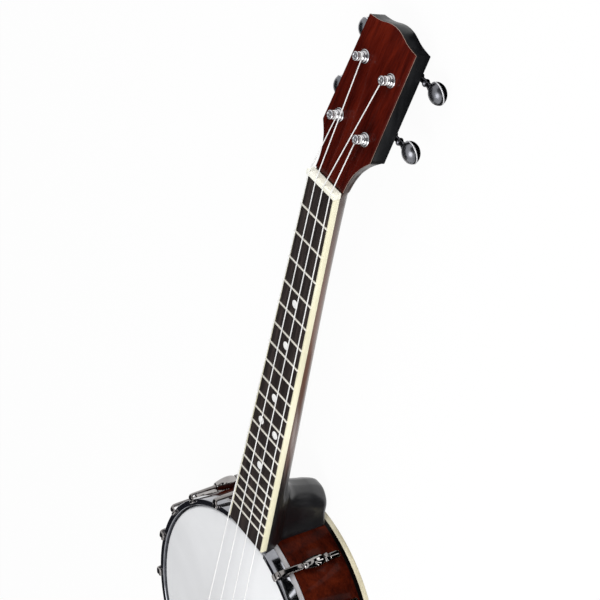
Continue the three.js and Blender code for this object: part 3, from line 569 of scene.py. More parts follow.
def hookStations():
    # (inwards, height, half thickness, half width, squareness) from the thread up over the hoop
    thick, wide, shank = hooks["halfThick"], hooks["halfWide"], hooks["shank"]
    flat, bend, crest = hoopTop - hooks["flatFrom"], hooks["bend"], hoopTop + hooks["overHoop"]
    stations = [(0, hexBottom + 0.5 * mm, shank, shank, 2), (0, flat - 1.2 * mm, shank, shank, 2),
                (0, flat - 0.2 * mm, shank, shank, 2), (0, flat + 0.5 * mm, thick * 0.95, wide * 0.9, 3.5),
                (0, flat + 1.4 * mm, thick * 0.8, wide, 3.2), (0, flat + 8 * mm, thick * 0.76, wide, 3.2),
                (0, hoopTop - 2.2 * mm, thick * 0.62, wide, 3.2)]
    for degrees in (15, 35, 55, 75, 90):
        inwards, rise = bend * (1 - cos(radians(degrees))), bend * sin(radians(degrees))
        stations.append((inwards, crest - bend + rise, thick * 0.56, wide * 0.95, 3.2))
    knuckle = [(3.0, -0.15, 0.75, 0.95), (3.8, -0.25, 0.7, 0.95), (4.4, 0, 0.95, 1), (5.1, 0.2, 1.2, 1),
               (5.7, 0.15, 1.1, 1), (6.2, 0, 0.75, 0.95), (6.45, -0.05, 0.35, 0.85)]
    for inwards, rise, halfThick, share in knuckle:
        stations.append((inwards * mm, crest + rise * mm, halfThick * mm, wide * share, 5))
    return stations


def makeClaw(sides=24):
    stations = hookStations()
    rings = []
    for i, (inwards, height, halfThick, halfWide, squareness) in enumerate(stations):
        before, after = stations[max(i - 1, 0)], stations[min(i + 1, len(stations) - 1)]
        along = Vector((0, -(after[0] - before[0]), after[1] - before[1])).normalized()
        outwards = Vector((0, along.z, -along.y))
        centre = Vector((0, hookCircle - inwards, height))
        ring = []
        for k in range(sides):
            turn, power = 2 * pi * (k + 0.5) / sides, 2 / squareness
            x, y = copysign(abs(cos(turn)) ** power, cos(turn)), copysign(abs(sin(turn)) ** power, sin(turn))
            ring.append(centre + Vector((1, 0, 0)) * halfWide * x + outwards * halfThick * y)
        rings.append(ring)
    return loftPiece("hook", rings)


def makeHook():
    claw = makeClaw()
    # shares of the radius, and millimetres from the hexagon and from the closed end
    groove = [(1, 0), (1, -0.3), (0.9, -0.6), (0.9, -1.1), (1, -1.4)]
    dome = [(1, 2.2), (0.97, 1.5), (0.86, 0.8), (0.62, 0.3), (0.32, 0.05), (0, 0)]
    barrel = [(0, nutTop), (1.9 * mm, nutTop), (2.4 * mm, nutTop - 0.4 * mm)]
    barrel += [(hooks["barrel"] * share, hexBottom + rise * mm) for share, rise in groove]
    barrel += [(hooks["barrel"] * share, barrelBottom + rise * mm) for share, rise in dome]
    nut = placeMesh(turnedPiece("barrel", barrel, 32), moved(0, hookCircle, 0))
    hexagon = softenEdges(barPiece("hexagon", 6, hooks["nutHex"], hooks["nutHexHigh"]), 0.45, 3)
    placeMesh(hexagon, moved(0, hookCircle, (nutTop + hexBottom) / 2))
    return joinPieces(claw, nut, hexagon)


def makeShoe():
    bulge = [(0.0, 0.62), (0.03, 0.74), (0.1, 0.86), (0.2, 0.96), (0.33, 1.0), (0.46, 0.985), (0.6, 0.93),
             (0.74, 0.84), (0.86, 0.74), (0.94, 0.66), (0.98, 0.6), (1.0, 0.53)]
    profile = [(0, shoeBottom + 0.5 * mm), (2.3 * mm, shoeBottom + 0.5 * mm)]
    profile += [(hooks["shoeRadius"] * share, shoeBottom + hooks["shoeLong"] * rise) for rise, share in bulge]
    profile += [(2.2 * mm, shoeTop), (2.0 * mm, shoeTop - 0.5 * mm), (0, shoeTop - 0.5 * mm)]
    spindle = placeMesh(turnedPiece("shoe", profile, 48), moved(0, hookCircle, 0))
    seat = pot["radius"] + bolt["seatGap"]
    under, over = shoeBottom - 5 * mm, shoeTop + 5 * mm
    rimFace = [(0, under), (seat, under), (seat, over), (0, over)]
    cutAway(spindle, turnedPiece("rim_face", rimFace, roundThePot))
    inside = sqrt(potInner ** 2 - bolt["flange"] ** 2)
    tip, under, end = inside - bolt["domeHigh"], inside - bolt["flangeHigh"], seat + bolt["inShoe"]
    corners = [(0, tip, 0), (bolt["dome"], tip, 0.9), (bolt["dome"], under, 0), (bolt["flange"], under, 0.2),
               (bolt["flange"], inside, 0), (bolt["shank"], inside, 0), (bolt["shank"], end, 0), (0, end, 0)]
    lay = moved(0, 0, (shoeTop + shoeBottom) / 2) @ turned("X", -90)
    return joinPieces(spindle, placeMesh(turnedPiece("bolt", rounded(corners), 24), lay))


def hookAngles():
    right = [hooks["first"] + i * hooks["step"] for i in range(hooks["perSide"])]
    return right + [360 - angle for angle in reversed(right)]


firstHook, firstShoe = makeHook(), makeShoe()
for number, angle in enumerate(hookAngles(), 1):
    hook = copyPiece(firstHook, f"bracket_hook_{number:02d}", aboutPot(angle))
    finishPiece(hook, hookFinish, f"hook_{number:02d}")
    shoe = copyPiece(firstShoe, f"bracket_shoe_{number:02d}", aboutPot(angle))
    finishPiece(shoe, shoeFinish, f"shoe_{number:02d}")
bpy.data.objects.remove(firstHook)
bpy.data.objects.remove(firstShoe)
print("stage: hooks and shoes made")


# neck, lofted from the heel to the flare under the headstock

neck = inMm(depthAtHeel=17.3, heelReach=50, heelRadius=13.8, heelFillet=10, heelClear=6.5, rootWide=3.3,
            rootLong=14, start=3, gap=0.05, waistHalf=16.2, cornerHalf=27.4, topHalf=26.1, corner=34.8,
            top=115.6, crown=5.4, column=24, front=30, veneerStart=4.6, potGap=0.1, hoopGap=0.5)
# each table gives shares along a line, and under them the shares of a size there
squareAtShares = [0, 0.63, 0.72, 0.8, 0.87, 0.93, 0.975, 1]
squareShares = [1, 1, 0.995, 0.985, 0.97, 0.945, 0.91, 0.87]
shaftAtShares = [0, 0.25, 0.5, 0.75, 1]
shaftDepthShares = [0.775, 0.746, 0.81, 0.908, 1]
heelDepthShares = [0.31, 0.373, 0.445, 0.535, 0.624, 0.723, 0.786, 0.875, 0.947, 0.985, 1]
heelFrontShares = [1.024, 0.884, 0.804, 0.754, 0.72, 0.69, 0.674, 0.64, 0.604, 0.568, 0.51]
heelRadiusShares = [1, 1, 1, 1, 1, 1, 1, 1, 1, 0.93, 0.78]
flareAtShares = [0, 0.22, 0.36, 0.48, 0.59, 0.68, 0.79, 0.91, 1]
flareShares = [0, 0, 0.03, 0.1, 0.19, 0.32, 0.5, 0.77, 1]
crownAtShares = [0, 0.16, 0.34, 0.5, 0.68, 0.87, 1]
crownShares = [1, 0.93, 0.69, 0.4, 0.18, 0.06, 0]
ringLevels = 36


def ringOf(right, place, y):  # a ring of the neck from the points down its right side
    return [place @ Vector((x, y, z)) for x, z in bothSides(right)]


def shaftDepth(distance):
    share = (nutFront - distance) / (nutFront - pot["radius"] - neck["heelReach"])
    return neck["depthAtHeel"] * eased(shaftAtShares, shaftDepthShares, share)


def heelFront(depthShare):
    return neck["heelReach"] * eased(heelDepthShares, heelFrontShares, depthShare)


def heelHalf(depthShare, reach):  # sides that spread at the rim and end in a half circle, seen from above
    radius = neck["heelRadius"] * eased(heelDepthShares, heelRadiusShares, depthShare)
    past = min(max(reach - heelFront(depthShare) + radius, 0), radius)
    nearRim = min(max(1 - reach / neck["rootLong"], 0), 1)
    return sqrt(radius ** 2 - past ** 2) + neck["rootWide"] * nearRim ** 2


def heelDepthShare(reach):  # how deep the heel reaches at this distance from the rim
    low, high = heelDepthShares[0], 1
    for _ in range(24):
        middle = (low + high) / 2
        if heelFront(middle) > reach:
            low = middle
        else:
            high = middle
    return low


def filleted(one, other):
    short = max(neck["heelFillet"] - abs(one - other), 0)
    return max(one, other) + short ** 2 / (4 * neck["heelFillet"])


def shaftRings():
    top = -board["thick"] - neck["gap"]
    dip = pot["radius"] * sin(radians(neckSet["lean"]))
    fullDepth = hoopTop + neckSet["lift"] - dip + top - neck["heelClear"]
    column = [pot["radius"] + neck["column"] * i / 16 for i in range(1, 17)]
    front = [column[-1] + neck["front"] * i / 110 for i in range(1, 111)]
    rest = [front[-1] + (nutFront - front[-1]) * i / 40 for i in range(1, 41)]
    rings = []
    for distance in [pot["radius"] - neck["start"], *column, *front, *rest]:
        reach = distance - pot["radius"]
        shaft = shaftDepth(distance)
        depth = max(shaft, fullDepth * heelDepthShare(reach))
        inHeel = (depth - shaft) / (fullDepth - shaft)
        half = boardHalf(distance) + board["strip"]
        right = []
        for step in range(ringLevels + 1):
            arc = sin(pi / 2 * step / ringLevels)
            deep = eased([0, 0.45, 0.8, 1], [0, 0.36, 0.93, 1], step / ringLevels)
            down = depth * (arc + (deep - arc) * inHeel)
            wide = half * sqrt(1 - min(down / shaft, 1) ** 2)
            right.append((filleted(wide, heelHalf(down / fullDepth, reach)), top - down))
        rings.append(ringOf(right, neckPlace, distance))
    return rings


def flareHalf(share):
    wider = neck["cornerHalf"] - neck["waistHalf"]
    return neck["waistHalf"] + wider * eased(flareAtShares, flareShares, share)


slabTop = -headSet["veneer"] - neck["gap"]


def flareRings(rows=28, first=0.12, past=1.06):  # from just inside the shaft to just inside the headstock
    atNut = shaftDepth(nutFront) + board["thick"] + neck["gap"] - headSet["drop"] + slabTop
    rings = []
    for i in range(rows):
        share = first + (past - first) * i / (rows - 1)
        inFlare = min(share, 1)
        depth = atNut + (headSet["thickness"] + slabTop - atNut) * inFlare
        right = []
        for step in range(ringLevels + 1):
            turn = pi / 2 * step / ringLevels
            square = eased(squareAtShares, squareShares, sin(turn))
            wide = flareHalf(inFlare) * (cos(turn) + (square - cos(turn)) * inFlare)
            right.append((filleted(wide, 0), slabTop - depth * sin(turn)))
        rings.append(ringOf(right, headPlace, neck["corner"] * share))
    return rings


def potCylinder(radius, bottom, top):
    return potRing("pot_cylinder", [(0, bottom, 0), (radius, bottom, 0), (radius, top, 0), (0, top, 0)])


def crownOutline(steps=22):
    right = []
    for i in range(steps + 1):
        share = 1 - i / steps
        rise = neck["crown"] * eased(crownAtShares, crownShares, share)
        right.append((neck["topHalf"] * share, neck["top"] + rise))
    return right + [(-x, y) for x, y in reversed(right[:-1])]


def veneerOutline():
    start = neck["veneerStart"]
    along = [start + (neck["corner"] - start) * i / 24 for i in range(25)]
    right = [(flareHalf(y / neck["corner"]), y) for y in along]
    return right + crownOutline() + [(-x, y) for x, y in reversed(right)]


shaft = cutAway(loftPiece("neck_shaft", shaftRings() + flareRings()),
                potCylinder(pot["radius"] + pot["bindingProud"] + neck["potGap"], -2 * mm, 60 * mm),
                potCylinder(hoopRadius + neck["hoopGap"], ledgeLevel, 90 * mm))
finishPiece(shaft, neckFinish, "neck", sharp=40)

slabCorners = [(neck["cornerHalf"], neck["corner"]), *crownOutline(), (-neck["cornerHalf"], neck["corner"])]
slab = softenEdges(platePiece("headstock_core", slabCorners, -headSet["thickness"], slabTop), 0.5)
lineTop, lineBottom = -headSet["face"], -headSet["face"] - headSet["line"]
backing = platePiece("headstock_backing", veneerOutline(), slabTop, lineBottom)
edgeLine = platePiece("headstock_edge_line", veneerOutline(), lineBottom, lineTop)
veneer = softenEdges(platePiece("headstock_face", veneerOutline(), lineTop, 0), 0.2)
for piece, finish, slotName, node in ((slab, slabFinish, "neck_wood", "neck"),
                                      (backing, slabFinish, "neck_wood", "neck"),
                                      (edgeLine, edgeFinish, "veneer_wood", "headstock_veneer"),
                                      (veneer, veneerWood, "veneer_wood", "headstock_veneer")):
    finishPiece(placeMesh(piece, headPlace), finish, node, sharp=30)


# fingerboard, its binding, frets and dots, and the nut

boardFront = nutFront - 0.05 * mm


def stripOutline(inner, outer):  # the outline between two distances from the bare board's edge
    return [(boardHalf(boardEnd) + inner, boardEnd), (boardHalf(boardEnd) + outer, boardEnd),
            (boardHalf(boardFront) + outer, boardFront), (boardHalf(boardFront) + inner, boardFront)]


bare = stripOutline(0, 0)
blackBoard = platePiece("board_wood_plate", bothSides([bare[0], bare[2]]), -board["thick"], 0)
softenEdges(blackBoard, 0.15, 1)
finishPiece(placeMesh(blackBoard, neckPlace), boardWood, "fingerboard", sharp=30)
strip = softenEdges(platePiece("strip", stripOutline(0.02 * mm, board["strip"]), -board["thick"], 0), 0.3)
for name, side in (("board_binding_treble", 1), ("board_binding_bass", -1)):
    twin = copyPiece(strip, name, neckPlace @ stretched(side, 1, 1))
    finishPiece(twin, boardBindingFinish, "fingerboard", sharp=30)
bpy.data.objects.remove(strip)

fret = inMm(halfWide=0.7, crown=0.9, overStrip=1.1)


def fretDistance(number):
    return nutFront - neckSet["scale"] * (1 - 2 ** (-number / 12))


def makeFret(number):
    distance = fretDistance(number)
    bar = placeMesh(barPiece(f"fret_{number:02d}", 28, 1, 2), turned("Y", 90))
    placeMesh(bar, stretched(boardHalf(distance) + fret["overStrip"], fret["halfWide"], fret["crown"]))
    softenEdges(bar, 0.25, 2, 60)
    return placeMesh(bar, neckPlace @ moved(0, distance, 0))


for number in range(1, neckSet["frets"] + 1):
    finishPiece(makeFret(number), fretFinish, "fingerboard")

dots = dict(inMm(radius=3.1, deep=0.5, proud=0.04, apart=8.9), single=(5, 7, 10, 15), double=12)


def makeDot(name, x, number):
    radius, deep, proud = dots["radius"], dots["deep"], dots["proud"]
    corners = [(0, -deep, 0), (radius, -deep, 0), (radius, proud, 0.04), (0, proud, 0)]
    middle = (fretDistance(number) + fretDistance(number - 1)) / 2
    dot = placeMesh(turnedPiece(name, rounded(corners), 40), neckPlace @ moved(x, middle, 0))
    finishPiece(dot, pearlFinish, "fingerboard")


for number in dots["single"]:
    makeDot(f"dot_{number:02d}", 0, number)
makeDot("dot_12_treble", dots["apart"], dots["double"])
makeDot("dot_12_bass", -dots["apart"], dots["double"])

strings = dict(inMm(radius=0.4, atNut=8.7, atBridge=13.7, atTail=8.5, atBridgeHigh=3.7, pitch=1.45), turns=1)
nut = inMm(thick=4.3, crown=1.3, over=0.3)
nutSlot = nut["crown"] + 0.05 * mm + strings["radius"]


def fromMiddle(position):  # strings are counted from the bass side, 0 to 3
    return position - 1.5


def makeNut():
    low, thick, crown = -board["thick"], nut["thick"], nut["crown"]
    outline = rounded([(0, low, 0), (thick, low, 0), (thick, crown, 1.1), (0, crown, 0.8)], 4)
    half = boardHalf(nutFront) + board["strip"] + nut["over"]
    body = placeMesh(platePiece("nut_bone_block", outline, -half, half), moved(0, nutFront, 0) @ acrossNeck)
    softenEdges(body, 0.35)
    for position in range(4):
        groove = barPiece("groove", 20, strings["radius"] * 1.15, 12 * mm)
        place = moved(fromMiddle(position) * strings["atNut"], nutFront + thick / 2, nutSlot - 0.02 * mm)
        cutAway(body, placeMesh(groove, place @ turned("X", 90)))
    return placeMesh(body, neckPlace)


finishPiece(makeNut(), boneFinish, "nut", sharp=30)
print("stage: neck made")


# tuners, made for the treble side round the post's axis

tuner = dict(inMm(halfApart=14.9, lower=45.5, upper=90.2, gearRadius=4.2, wormAcross=6.5, wormLevel=-18.0,
                  plateTop=-13.35, plateBottom=-14.9, gearTop=-16.3, gearBottom=-19.7, buttonAt=25.0,
                  waistLow=3.8, waistRadius=2.2), teeth=12, buttonRest=28)


def makePost():
    low, waist = tuner["gearBottom"], tuner["waistRadius"]
    end = low - 1.2 * mm
    corners = [(0, end, 0), (2.2 * mm, end, 0.3), (2.2 * mm, low, 0), (2.6 * mm, low, 0)]
    corners += mmCorners((2.6, 2.55, 0), (3.1, 2.55, 0.2), (3.1, 3.1, 0.3))
    corners += [(waist, 3.9 * mm, 0.3), (waist, 6.5 * mm, 0.3)]
    corners += mmCorners((3.1, 7.1, 0.3), (3.1, 8.3, 0.2), (2.7, 8.7, 0.15), (2.0, 8.7, 0), (1.8, 8.45, 0.1),
                         (0.7, 8.45, 0), (0.5, 8.6, 0.1), (0, 8.6, 0))
    shaft = turnedPiece("post", rounded(corners), 40)
    outline = []
    root, tip = tuner["gearRadius"] - 0.75 * mm, tuner["gearRadius"]
    for tooth in range(tuner["teeth"]):
        for share, radius in ((0, root), (0.12, root), (0.26, tip - 0.1 * mm), (0.32, tip), (0.5, tip),
                              (0.56, tip - 0.1 * mm), (0.7, root), (0.85, root - 0.05 * mm)):
            turn = 2 * pi * (tooth + share) / tuner["teeth"]
            outline.append((radius * cos(turn), radius * sin(turn)))
    gear = softenEdges(platePiece("gear", outline, low, tuner["gearTop"]), 0.2, 2, 60)
    slot = barPiece("driver_slot", 4, 0.4 * mm, 3.6 * mm)
    cutAway(shaft, placeMesh(slot, moved(0, 0, low - 1.3 * mm) @ turned("X", 90)))
    return joinPieces(shaft, gear)


def makeHousing():
    low = tuner["plateBottom"]
    outline = mmCorners((-6.2, -4.45, 2.2), (6.2, -4.45, 2.2), (6.2, 9.55, 1.4), (-6.2, 9.55, 1.4))
    base = softenEdges(platePiece("housing", rounded(outline, 5), low, tuner["plateTop"]), 0.3)
    bushing = mmCorners((3.2, 0.02, 0), (4.8, 0.02, 0.1), (4.8, 0.6, 0.3), (4.35, 0.85, 0.1),
                        (4.15, 0.5, 0.1), (3.95, 0.7, 0.1), (3.8, 1.3, 0.3), (3.1, 2.2, 0.2), (2.75, 2.2, 0),
                        (2.75, 0.02, 0))
    parts = [turnedPiece("bushing", rounded(bushing), 48)]
    earOutline = rounded(mmCorners((-3.1, 0, 0), (3.1, 0, 0), (3.1, 6.2, 3), (-3.1, 6.2, 3)), 8)
    for x in (-5.0 * mm, 5.0 * mm):
        ear = softenEdges(platePiece("ear", earOutline, -0.9 * mm, 0.9 * mm), 0.25, 2, 60)
        parts.append(placeMesh(ear, moved(x, tuner["wormAcross"], low) @ stretched(1, 1, -1) @ acrossNeck))
    for x in (-4.4 * mm, 4.4 * mm):
        screw = rounded([(0, low + 0.5 * mm, 0), (1.5 * mm, low + 0.5 * mm, 0),
                         (1.5 * mm, low - 0.25 * mm, 0.2), (0.9 * mm, low - 0.6 * mm, 0.3),
                         (0, low - 0.65 * mm, 0)])
        parts.append(placeMesh(turnedPiece("screw", screw, 24), moved(x, -2.6 * mm, 0)))
    return joinPieces(base, *parts)


button = inMm(half=6.0, wide=8.45, long=7.3, beadOver=0.35, beadIn=0.5)
worm = dict(inMm(half=3.8, root=1.25, crest=0.72, pitch=2.1), rows=64, sides=24)


def wormRings():
    rings = []
    for i in range(worm["rows"] + 1):
        along = -worm["half"] + 2 * worm["half"] * i / worm["rows"]
        fade = min(1, 4 * min(i, worm["rows"] - i) / worm["rows"])
        ring = []
        for k in range(worm["sides"]):
            turn = 2 * pi * k / worm["sides"]
            phase = (along / worm["pitch"] + k / worm["sides"]) % 1
            radius = worm["root"] + worm["crest"] * fade * (1 - abs(2 * phase - 1))
            ring.append((radius * cos(turn), radius * sin(turn), along))
        rings.append(ring)
    return rings


def makeButton():
    lens = []
    for i in range(21):
        share = sin(pi / 2 * i / 20)
        lens.append((button["wide"] * share, -button["half"] * (1 - share ** 2) ** 0.54))
    oval = turnedPiece("oval", lens + [(r, -z) for r, z in reversed(lens[:-1])], 96)
    inner, outer = button["wide"] - button["beadIn"], button["wide"] + button["beadOver"]
    bead = rounded([(inner, -0.55 * mm, 0.1), (outer, -0.4 * mm, 0.35), (outer, 0.4 * mm, 0.35),
                    (inner, 0.55 * mm, 0.1)], 5)
    edge = turnedPiece("edge", bead, 96)
    across, level = tuner["wormAcross"], tuner["wormLevel"]
    onShaft = moved(tuner["buttonAt"], across, level) @ turned("X", tuner["buttonRest"])
    for part in (oval, edge):
        placeMesh(part, onShaft @ stretched(button["long"] / outer, 1, 1))
    stem = mmCorners((0, 5.9, 0), (2.5, 5.95, 0.2), (2.5, 6.7, 0.2), (1.9, 7.6, 0.3), (2.0, 11, 0),
                     (2.9, 11.6, 0.4), (2.9, 12.6, 0.4), (2.0, 13.6, 0.5), (2.1, 16, 0.6), (2.9, 17.7, 0.5),
                     (3.1, 19.4, 0), (0, 19.4, 0))
    end = mmCorners((0, -7.4, 0), (1.6, -7.4, 0.3), (2.2, -7.0, 0.3), (2.2, -6.0, 0.1), (1.4, -6.0, 0),
                    (1.4, -3.7, 0), (0, -3.7, 0))
    inner = mmCorners((0, 3.7, 0), (1.4, 3.7, 0), (1.4, 6.1, 0), (0, 6.1, 0))
    shaftPieces = [turnedPiece("stem", rounded(stem, 4), 32), turnedPiece("end", rounded(end), 32),
                   turnedPiece("inner", rounded(inner), 24), loftPiece("worm", wormRings())]
    for part in shaftPieces:
        placeMesh(part, moved(0, across, level) @ turned("Y", 90))
    return oval, edge, joinPieces(*shaftPieces)


# (string, side, distance from the nut, place among the strings)
posts = [("g", -1, tuner["lower"], 0), ("c", -1, tuner["upper"], 1), ("e", 1, tuner["upper"], 2),
         ("a", 1, tuner["lower"], 3)]
firstPost, firstHousing = makePost(), makeHousing()
firstOval, firstEdge, firstStem = makeButton()
for letter, side, distance, position in posts:
    place = headPlace @ moved(side * tuner["halfApart"], distance, 0) @ stretched(side, 1, 1)
    housing = copyPiece(firstHousing, f"tuner_housing_{letter}", place)
    finishPiece(housing, tunerFinish, f"housing_{letter}")
    post = copyPiece(firstPost, f"string_post_{letter}", place)
    finishPiece(post, postFinish, f"post_{letter}", body=f"post_{letter}")
    for first, name, finish, sharp in ((firstOval, "tuner_oval", buttonFinish, 50),
                                       (firstEdge, "tuner_edge", edgePaintedHighlight, 60),
                                       (firstStem, "tuner_shaft", stemFinish, 35)):
        part = copyPiece(first, f"{name}_{letter}", place)
        finishPiece(part, finish, f"button_{letter}", body=f"button_{letter}", sharp=sharp)
for piece in (firstPost, firstHousing, firstOval, firstEdge, firstStem):
    bpy.data.objects.remove(piece)
print("stage: tuners made")


# strings

tail = inMm(plateHigh=2, reach=20, strapWide=17, strapFoot=14, barHigh=3.2, barWide=3, barBack=8, barIn=2,
            seat=0.05, over=0.3, hookMargin=3.65, strapGap=0.6, shoulder=12)
tailTop = hoopTop + tail["over"] + tail["plateHigh"]
barFront = -hoopRadius + tail["barBack"]
bridgeAt = nutFront - neckSet["scale"]


def stringPoints(side, distance, position):
    across = fromMiddle(position)
    atNut, atBridge = across * strings["atNut"], across * strings["atBridge"]
    tailEnd = Vector((across * strings["atTail"], barFront - tail["barWide"] - 0.6 * mm, tailTop + 0.75 * mm))
    points = [potPlace @ tailEnd, neckPlace @ Vector((atBridge, bridgeAt, strings["atBridgeHigh"])),
              neckPlace @ Vector((atNut, nutFront + 0.3 * mm, nutSlot)),
              neckPlace @ Vector((atNut, nutFront + nut["thick"] * 0.8, nutSlot - 0.05 * mm))]
    x, perTurn = side * tuner["halfApart"], 32
    radius = tuner["waistRadius"] + strings["radius"] + 0.02 * mm
    low = tuner["waistLow"] + 0.75 * mm
    for step in range(strings["turns"] * perTurn + 1):
        turn = step / perTurn
        angle = (pi if side > 0 else 0) - side * 2 * pi * turn
        height = low + strings["pitch"] * turn
        points.append(headPlace @ Vector((x + radius * cos(angle), distance + radius * sin(angle), height)))
    last = headPlace.inverted() @ points[-1]
    points.append(headPlace @ Vector((x, distance, last.z)).lerp(last, 0.2))  # into the post
    return points


def tubePiece(name, points, radius, sides=14):
    rings = []
    normal = Vector((0, 0, 1))
    turns = [2 * pi * k / sides for k in range(sides)]
    for i, point in enumerate(points):
        before = (point - points[i - 1]).normalized() if i else (points[1] - point).normalized()
        after = (points[i + 1] - point).normalized() if i + 1 < len(points) else before
        along = (before + after).normalized()
        normal = (normal - along * along.dot(normal)).normalized()
        across = along.cross(normal)
        rings.append([point + normal * radius * cos(turn) + across * radius * sin(turn) for turn in turns])
    return loftPiece(name, rings)


for letter, side, distance, position in posts:
    points = stringPoints(side, distance, position)
    string = tubePiece(f"nylon_string_{letter}", points, strings["radius"])
    selectNone()
    bpy.ops.mesh.primitive_uv_sphere_add(segments=20, ring_count=12, radius=1.15 * mm)
    knot = placeMesh(newPiece("knot"), moved(*points[0]) @ stretched(1.1, 0.8, 1))
    finishPiece(joinPieces(string, knot), nylonFinish, f"string_{letter}", sharp=60)
print("stage: strings made")


# bridge, tailpiece and coordinator rod

bridge = inMm(half=30, thickFoot=4.6, thickTop=2.2)


def makeBridge():
    top = neckPlace @ Vector((0, bridgeAt, strings["atBridgeHigh"]))
    bottom = headTop + 0.02 * mm
    height = top.z - strings["radius"] - bottom
    upperShares = [(1, 0), (0.985, 0.28), (0.96, 0.52), (0.9, 0.8), (0.84, 0.93), (0.78, 0.985), (0.74, 1)]
    lowerShares = [(0.8, 0), (0.775, 0.14), (0.72, 0.32), (0.62, 0.46), (0.5, 0.52), (0.38, 0.48),
                   (0.27, 0.34), (0.19, 0.16), (0.155, 0.04), (0.14, 0)]
    over = [(bridge["half"] * a, bottom + height * r) for a, r in upperShares]
    under = [(-bridge["half"] * a, bottom + height * r) for a, r in lowerShares]
    body = platePiece("maple_bridge", bothSides(over) + bothSides(under), -bridge["thickFoot"] / 2,
                      bridge["thickFoot"] / 2)
    for vertex in body.data.vertices:  # thinner towards the strings
        share = (vertex.co.y - bottom) / height
        vertex.co.z *= 1 - (1 - bridge["thickTop"] / bridge["thickFoot"]) * share
    softenEdges(placeMesh(body, facingNeck), 0.25)
    return placeMesh(body, moved(0, top.y, 0))


finishPiece(makeBridge(), bridgeWood, "bridge", sharp=30)


def makeTailpiece():
    lastAngle = hooks["first"] + (hooks["perSide"] - 1) * hooks["step"]
    half = hookCircle * sin(radians(lastAngle)) - hooks["halfWide"] - tail["hookMargin"]
    strapHalf = tail["strapWide"] / 2
    inside = hoopRadius + tail["strapGap"]
    outside = inside + tail["plateHigh"]
    front = hoopRadius - tail["reach"]
    left = [(-half, -front, 3), (-half, -(front + tail["shoulder"]), 6), (-strapHalf, -(outside - 3 * mm), 3),
            (-strapHalf, -outside, 0)]
    mirrored = [(-x, y, radius) for x, y, radius in reversed(left)]
    top = platePiece("tail_plate", rounded(left + mirrored, 6), hoopTop + tail["seat"], tailTop)
    foot = tail["strapFoot"]
    strapCorners = [(-strapHalf, foot, 4), (strapHalf, foot, 4), (strapHalf, tailTop, 0),
                    (-strapHalf, tailTop, 0)]
    strap = softenEdges(platePiece("strap", rounded(strapCorners, 8), inside, outside), 0.4)
    placeMesh(strap, stretched(1, -1, 1) @ facingNeck)
    back, low, high = barFront - tail["barWide"], tailTop - 0.4 * mm, tailTop + tail["barHigh"]
    barOutline = rounded([(back, low, 0), (barFront, low, 0), (barFront, high, 1.2), (back, high, 1.2)], 5)
    bar = platePiece("bar", barOutline, -half + tail["barIn"], half - tail["barIn"])
    softenEdges(placeMesh(bar, acrossNeck), 0.4)
    return placeMesh(joinPieces(softenEdges(top, 0.4), strap, bar), potPlace)


finishPiece(makeTailpiece(), chromeFinish, "tailpiece")

rod = inMm(radius=3.9, level=25, hole=20, holeGap=0.3, nutRadius=7.4, nutThick=5, tailGap=0.65, past=0.2)


def makeRod():
    tailFace = hoopRadius + rod["tailGap"] + tail["plateHigh"]
    wall = sqrt(potInner ** 2 - rod["nutRadius"] ** 2)
    start, end = -tailFace - rod["nutThick"], pot["radius"] + rod["hole"] - rod["holeGap"]
    first, radius = start - rod["past"], rod["radius"]
    corners = [(0, first, 0), (radius, first, 0.5), (radius, end, 0.4), (0, end, 0)]
    bar = turnedPiece("tie_rod", rounded(corners, 4), 48)
    parts = []
    for bottom in (start + rod["past"], -wall, wall - rod["nutThick"]):
        hexagon = softenEdges(barPiece("rod_nut", 6, rod["nutRadius"], rod["nutThick"]), 0.6, 3)
        parts.append(placeMesh(hexagon, moved(0, 0, bottom + rod["nutThick"] / 2)))
    return placeMesh(joinPieces(bar, *parts), potPlace @ moved(0, 0, rod["level"]) @ turned("X", -90))


finishPiece(makeRod(), rodFinish, "coordinator_rod")
print("stage: bridge, tailpiece and rod made")


# studio: white floor that keeps a soft shadow, white air, soft lamps, and cards for the metal to mirror

studio = dict(ambient=0.36, floorGlow=0.95, floorWide=24, darkCard="0b0b0d", skyCard="34343a",
              greyCard="46464a", whiteCard="f4f4f4", cardGlow=1.5, cardLevel=0.3 * mm)


def seesBackground(tree):  # 1 for camera, mirror and glass rays
    path = addNode(tree, "LightPath", {}).outputs
    first = calc(tree, "MAXIMUM", path["Is Camera Ray"], path["Is Glossy Ray"])
    return calc(tree, "MAXIMUM", first, path["Is Transmission Ray"])


def mixInto(tree, kind, share, first, second):  # two shaders mixed into the world's or a material's surface
    mixed = addNode(tree, "MixShader", {0: share, 1: first.outputs[0], 2: second.outputs[0]})
    addNode(tree, kind, {"Surface": mixed.outputs[0]})


def makeWorld():
    world = bpy.data.worlds.new("studio_air")
    bpy.context.scene.world = world
    world.use_nodes = True
    tree = world.node_tree
    tree.nodes.clear()
    seen = addNode(tree, "Background", {"Color": (1, 1, 1, 1), "Strength": 1})
    lit = addNode(tree, "Background", {"Color": (1, 1, 1, 1), "Strength": studio["ambient"]})
    mixInto(tree, "OutputWorld", seesBackground(tree), lit, seen)


def makeFloor():
    selectNone()
    bpy.ops.mesh.primitive_plane_add(size=studio["floorWide"], location=(0, 0, -0.05 * mm))
    floor = newPiece("floor")
    material = bpy.data.materials.new("floor_paper")
    material.use_nodes = True
    tree = material.node_tree
    tree.nodes.clear()
    paper = addNode(tree, "BsdfDiffuse", {"Color": (0.9, 0.9, 0.9, 1)})
    glow = addNode(tree, "Emission", {"Color": (1, 1, 1, 1), "Strength": 1})
    share = calc(tree, "MULTIPLY", seesBackground(tree), studio["floorGlow"])
    mixInto(tree, "OutputMaterial", share, paper, glow)
    floor.data.materials.append(material)


